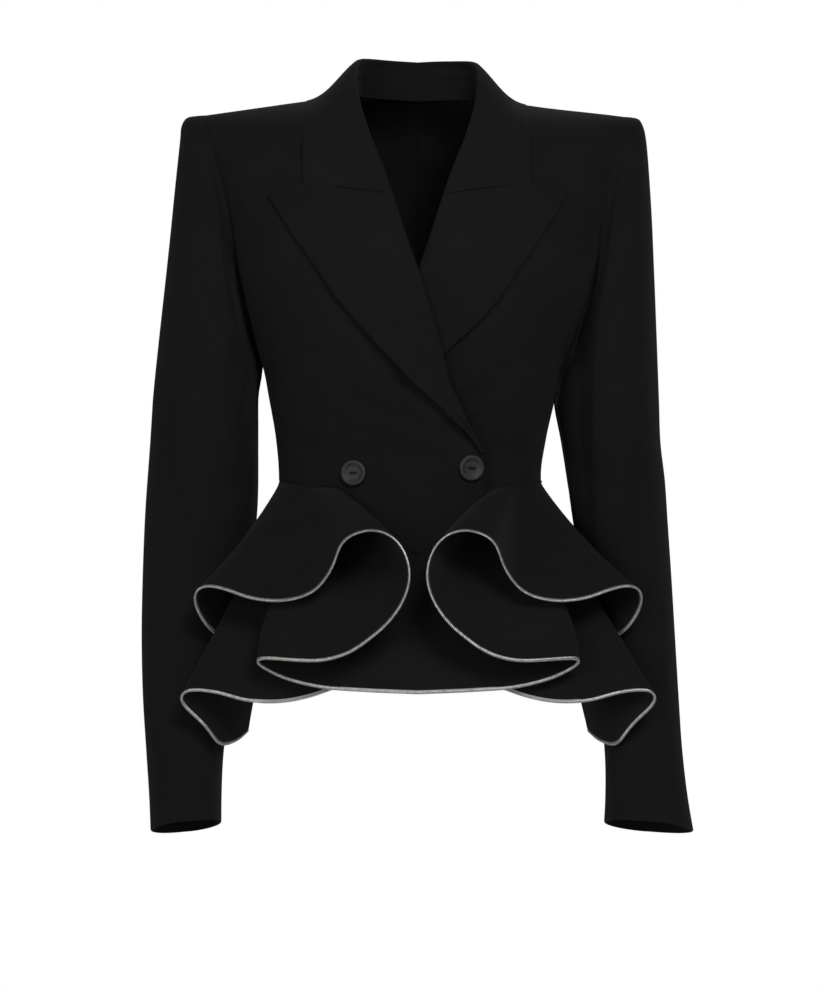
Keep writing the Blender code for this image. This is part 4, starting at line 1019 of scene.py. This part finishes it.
def frontHem(table, side):
    rows = np.array([[r[0], r[4], r[5], r[6], r[1], r[2], r[3]] for r in table], float)
    fine = curveThrough(rows, np.linspace(0, len(rows) - 1, 40 * len(rows)))
    run = lengthAlong(fine[:, 4:7])
    even = readAlong(fine, run, np.linspace(0, run[-1], int(run[-1] / flounce["spacing"])))
    soften(even, flounce["hemPasses"])
    share, bow, hem = even[:, 0], even[:, 1:4].copy(), even[:, 4:7].copy()
    nearer = 1 + hem[:, 1] / sight["distance"]
    hem[:, 0] = sight["x"] + (hem[:, 0] - sight["x"]) * nearer
    hem[:, 2] = sight["z"] + (hem[:, 2] - sight["z"]) * nearer
    if side == leftSide:
        hem[:, 0] = 2 * centre - hem[:, 0]
        bow[:, 0] = -bow[:, 0]
    return np.clip(share, 0, 1), hem, bow


def backHem(tier, side, sidePoint):
    share = np.linspace(0, 1, flounce["backColumns"])
    turn = share * math.pi / 2
    wave = 0.5 - 0.5 * np.cos(2 * math.pi * flounce["waves"] * share)
    sideX, sideY = abs(sidePoint[0] - centre), sidePoint[1]
    grow = 1 + tier["wave"] * wave / tier["rear"]
    x = centre + side * sideX * np.cos(turn) ** 0.9 * grow
    y = sideY + (tier["rear"] - sideY) * np.sin(turn) * grow
    z = sidePoint[2] + tier["fall"] * ease(share / flounce["backRise"]) + tier["lift"] * wave
    return share, np.stack([x, y, z], -1), np.stack([0 * x, 0 * x, flounce["backBow"] * wave], -1)


def flounceGrid(seam, hem, bow, rows):
    # the flounce from its allowance, turned up inside the waist, down to the hem
    t = np.linspace(0, 1, rows)[:, None, None]
    fall = seam[None] * (1 - t) + hem[None] * t + 4 * t * (1 - t) * bow[None]
    inside = unit((np.array([centre, 0, 0]) - seam) * [1, 1, 0])
    turned = [seam + inside * inward + [0, 0, up] for inward, up in flounce["tuck"]]
    return np.concatenate([np.stack(turned), fall])


def tubeFaces(count, sides):
    faces = []
    for i in range(count - 1):
        low, high = i * sides, (i + 1) * sides
        faces += [(low + k, low + (k + 1) % sides, high + (k + 1) % sides, high + k) for k in range(sides)]
    return faces + [tuple(range(sides))[::-1], tuple(range((count - 1) * sides, count * sides))]


def squared(value):
    return math.copysign(abs(value) ** trim["square"], value)


def trimBar(name, grid, inward):
    # a narrow ribbed metal edging that closes the hem
    fall = unit(grid[-1] - grid[-2])
    face = gridNormals(grid)[-1] * inward
    face = unit(face - fall * np.sum(face * fall, axis=1, keepdims=True))
    middle = grid[-1] + face * cloth["wall"] / 2 + fall * (trim["gap"] + trim["width"] / 2)
    run = lengthAlong(middle)
    ribs = max(4, round(run[-1] / trim["pitch"]))
    profile = np.append(np.tile([0.0, 0.55, 1.0, 0.55], ribs), 0.0)
    at = np.linspace(0, run[-1], len(profile))
    middle, fall, face = (readAlong(part, run, at) for part in (middle, fall, face))
    fall, face = unit(fall), unit(face)
    size = 1 - trim["groove"] * (1 - profile)
    around = np.linspace(0, 2 * math.pi, trim["sides"], endpoint=False)
    rings = [middle + (fall * trim["width"] / 2 * squared(math.cos(a))
                       + face * trim["thick"] / 2 * squared(math.sin(a))) * size[:, None] for a in around]
    points = np.stack(rings, 1).reshape(-1, 3)
    faces = tubeFaces(len(middle), trim["sides"])
    if np.dot(np.cross(points[1] - points[0], points[trim["sides"]] - points[0]), points[0] - middle[0]) < 0:
        faces = [tuple(reversed(f)) for f in faces]
    return addMesh(name, points, faces, edgeMetal, sharp=50)


def placeFlounce(tierName, word, node, grid):
    normal = gridNormals(grid)[0, 0]
    inward = 1 if normal[0] * (centre - grid[0, 0, 0]) > 0 else -1
    piece = shell("flounce" + tierName + word, grid, crepe, cloth["wall"], inward, turned=("start", "end"))
    finishPiece(piece, "jacket_crepe", tierName.lower() + "_flounce_" + node)
    bar = trimBar("trim" + tierName + word, grid, inward)
    finishPiece(bar, "edge_trim", tierName.lower() + "_trim_" + node)


for tierName, tier in tiers.items():
    halves = {}
    for side in (rightSide, leftSide):
        word, node = sideWords[side], nodeWords[side]
        share, hem, bow = frontHem(tier["hem"], side)
        seam = seamLine(side, True, share, tier["inset"], tier["drop"])
        halves[word] = flounceGrid(seam, hem, bow, flounce["rows"])
        share, hem, bow = backHem(tier, side, hem[0])
        seam = seamLine(side, False, share, tier["inset"], tier["drop"])
        seam[-1, 0] = centre - side * cloth["overlap"]
        grid = flounceGrid(seam, hem, bow, flounce["backRows"])
        placeFlounce(tierName, "Back" + word, "back_" + node, grid)
    if tierName == "Upper":
        whole = np.concatenate([halves["Right"], halves["Left"][:, ::-1][:, 1:]], axis=1)
        placeFlounce(tierName, "Front", "front", whole)
    else:
        for side in (rightSide, leftSide):
            grid = halves[sideWords[side]]
            grid[:, -1, 0] = centre
            placeFlounce(tierName, "Front" + sideWords[side], "front_" + nodeWords[side], grid)

print("buttons and welt")

button = {
    "Right": (-55.7, -327), "Left": (47.5, -322.5), "sides": 56,
    # distance from the middle and height off the cloth, from the face round to the shank
    "profile": ((0, 2.75), (4.6, 2.8), (6.6, 2.95), (7.6, 3.5), (8.7, 4.35), (9.8, 4.6), (10.8, 4.25),
                (11.5, 3.5), (11.7, 2.6), (11.3, 1.7), (10.2, 1.2), (3.4, 1.1), (3.2, 0.3), (0, 0.3)),
    "holeProfile": ((0, 4.0), (1.15, 4.0), (1.15, 1.9), (0, 1.9)), "sharp": 40, "holeAt": 2.7, "holeSides": 16,
    "thread": 0.5, "strands": (-0.55, 0, 0.55), "threadFoot": 2.2, "threadRise": 1.5, "middleRise": 0.2,
}


def buttonFrame(x, z):
    base = bodyPoint(x, z, True, 0.0)
    normal = unit(bodyPoint(x, z, True, 1.0) - base)
    level = unit(np.cross(normal, [0, 0, 1]))
    return base, normal, level, np.cross(level, normal)


def turned(profile, sides, base, normal, level, up):
    # a turned solid about the normal, closed at both ends on the axis
    angles = np.linspace(0, 2 * math.pi, sides, endpoint=False)
    rings = profile[1:-1]
    points = [base + normal * profile[0][1]]
    for radius, high in rings:
        points += [base + normal * high + (level * math.cos(a) + up * math.sin(a)) * radius for a in angles]
    points.append(base + normal * profile[-1][1])
    faces = [(0, 1 + (k + 1) % sides, 1 + k) for k in range(sides)]
    for r in range(len(rings) - 1):
        for k in range(sides):
            a, b = 1 + r * sides + k, 1 + r * sides + (k + 1) % sides
            faces.append((a, b, b + sides, a + sides))
    last = 1 + (len(rings) - 1) * sides
    faces += [(len(points) - 1, last + k, last + (k + 1) % sides) for k in range(sides)]
    return np.array(points), faces


def outwardFaces(points, faces):
    total = sum(np.dot(points[f[0]], np.cross(points[b], points[c]))
                for f in faces for b, c in zip(f[1:-1], f[2:]))
    return faces if total > 0 else [tuple(reversed(f)) for f in faces]


def tubeAlong(path, radius, sides=8):
    path = np.asarray(path, float)
    ahead = unit(np.gradient(path, axis=0))
    side = unit(np.cross(ahead, [0.3, 0.9, 0.2]))
    other = np.cross(ahead, side)
    angles = np.linspace(0, 2 * math.pi, sides, endpoint=False)
    points = np.concatenate([[p + (s * math.cos(a) + o * math.sin(a)) * radius for a in angles]
                             for p, s, o in zip(path, side, other)])
    return points, outwardFaces(points, tubeFaces(len(path), sides))


for side in (rightSide, leftSide):
    word = sideWords[side]
    base, normal, level, up = buttonFrame(*button[word])
    points, faces = turned(button["profile"], button["sides"], base, normal, level, up)
    piece = addMesh("button" + word, points, outwardFaces(points, faces), buttonHorn, sharp=button["sharp"])
    holes = []
    for a in (1, -1):
        place = base + level * a * button["holeAt"]
        points, faces = turned(button["holeProfile"], button["holeSides"], place, normal, level, up)
        holes.append(addMesh("hole", points, outwardFaces(points, faces), buttonHorn))
    for hole in holes:
        cut = piece.modifiers.new("hole", "BOOLEAN")
        cut.operation, cut.object, cut.solver = "DIFFERENCE", hole, "EXACT"
    graph = bpy.context.evaluated_depsgraph_get()
    cutMesh = bpy.data.meshes.new_from_object(piece.evaluated_get(graph))
    piece.modifiers.clear()
    piece.data = cutMesh
    piece.data.shade_smooth()
    piece.data.set_sharp_from_angle(angle=math.radians(button["sharp"]))
    for hole in holes:
        bpy.data.objects.remove(hole)
    finishPiece(piece, "button_horn", "button_" + nodeWords[side])
    threadPoints, threadFaces = [], []
    for strand in button["strands"]:
        t = np.linspace(-1, 1, 19)
        rise = button["threadRise"] + button["middleRise"] * (strand == 0)
        high = button["threadFoot"] + rise * (1 - t ** 4)
        path = base + level * (t * button["holeAt"])[:, None] + up * strand + normal * high[:, None]
        p, f = tubeAlong(path, button["thread"])
        shiftBy = sum(len(q) for q in threadPoints)
        threadPoints.append(p)
        threadFaces += [tuple(i + shiftBy for i in face) for face in f]
    thread = addMesh("buttonThread" + word, np.concatenate(threadPoints), threadFaces, buttonThread)
    finishPiece(thread, "button_horn")

welt = {"inner": (115.5, -111), "outer": (140.5, -115), "height": 11, "stand": 0.9, "thick": 0.8}
t = np.linspace(0, 1, 26)
rows = []
for high in np.linspace(0, welt["height"], 12):
    x = welt["inner"][0] + (welt["outer"][0] - welt["inner"][0]) * t
    z = welt["inner"][1] + (welt["outer"][1] - welt["inner"][1]) * t - high
    rows.append(bodyPoint(x, z, True, welt["stand"] * (1 - high / welt["height"]) + 0.1 + 0 * x))
grid = np.stack(rows)
piece = shell("breastWelt", grid, crepe, welt["thick"], towardAxis(grid))
finishPiece(piece, "jacket_crepe", "breast_welt")

print("floor, light and camera")

studio = {
    "floor": -1450.0, "floorSize": 14.0, "floorGlow": 0.8, "backdrop": 1.0, "world": 0.12,
    "camera": (-5.85, -5000.0, -345.15), "frameHeight": 888.3,
    # place and aim in metres, size, power
    "lights": (("keyLight", (1.1, -4.0, 2.0), (0, 0, -0.35), 1.5, 88),
               ("fillLight", (-2.4, -4.4, 0.3), (0, 0, -0.35), 2.4, 46),
               ("backLight", (0.6, 3.2, 2.2), (0, 0, -0.3), 2.4, 15)),
}


def aim(thing, target):
    direction = np.array(target) - np.array(thing.location)
    thing.rotation_euler = Vector(direction).to_track_quat("-Z", "Y").to_euler()


size = studio["floorSize"] / 2 / mm
floorPoints = [(size * x, size * y, studio["floor"]) for x, y in ((-1, -1), (1, -1), (1, 1), (-1, 1))]
floorMaterial, floorTree, floorShader = startMaterial(
    "paleFloor", {"Base Color": (0.86, 0.86, 0.85, 1), "Roughness": 0.8})
floor = addMesh("floor", floorPoints, [(0, 1, 2, 3)], floorMaterial)
floorPath = floorTree.nodes.new("ShaderNodeLightPath")  # the floor is seen paler than it lights
paler = mathNode(floorTree, "MULTIPLY", floorPath.outputs["Is Camera Ray"], studio["floorGlow"])
floorShader.inputs["Emission Color"].default_value = (1, 1, 0.99, 1)
floorTree.links.new(paler, floorShader.inputs["Emission Strength"])

scene = bpy.context.scene
world = bpy.data.worlds.new("studio")
world.use_nodes = True
worldTree = world.node_tree
background = worldTree.nodes["Background"]
background.inputs["Color"].default_value = (1, 1, 1, 1)
lightPath = worldTree.nodes.new("ShaderNodeLightPath")
brightness = worldTree.nodes.new("ShaderNodeMapRange")  # a white backdrop that lights the cloth less
brightness.inputs["To Min"].default_value = studio["world"]
brightness.inputs["To Max"].default_value = studio["backdrop"]
worldTree.links.new(lightPath.outputs["Is Camera Ray"], brightness.inputs["Value"])
worldTree.links.new(brightness.outputs["Result"], background.inputs["Strength"])
scene.world = world
scene.view_settings.view_transform = "Standard"

for name, place, target, size, power in studio["lights"]:
    lamp = bpy.data.lights.new(name, "AREA")
    lamp.shape = "DISK"
    lamp.size = size
    lamp.energy = power
    holder = bpy.data.objects.new(name, lamp)
    holder.location = place
    aim(holder, target)
    scene.collection.objects.link(holder)

cameraData = bpy.data.cameras.new("camera")
camera = bpy.data.objects.new("camera", cameraData)
camera.location = [value * mm for value in studio["camera"]]
camera.rotation_euler = (math.pi / 2, 0, 0)
cameraData.sensor_width = 36
cameraData.lens = 36 * -studio["camera"][1] / studio["frameHeight"]
cameraData.clip_end = 100
scene.collection.objects.link(camera)
scene.camera = camera
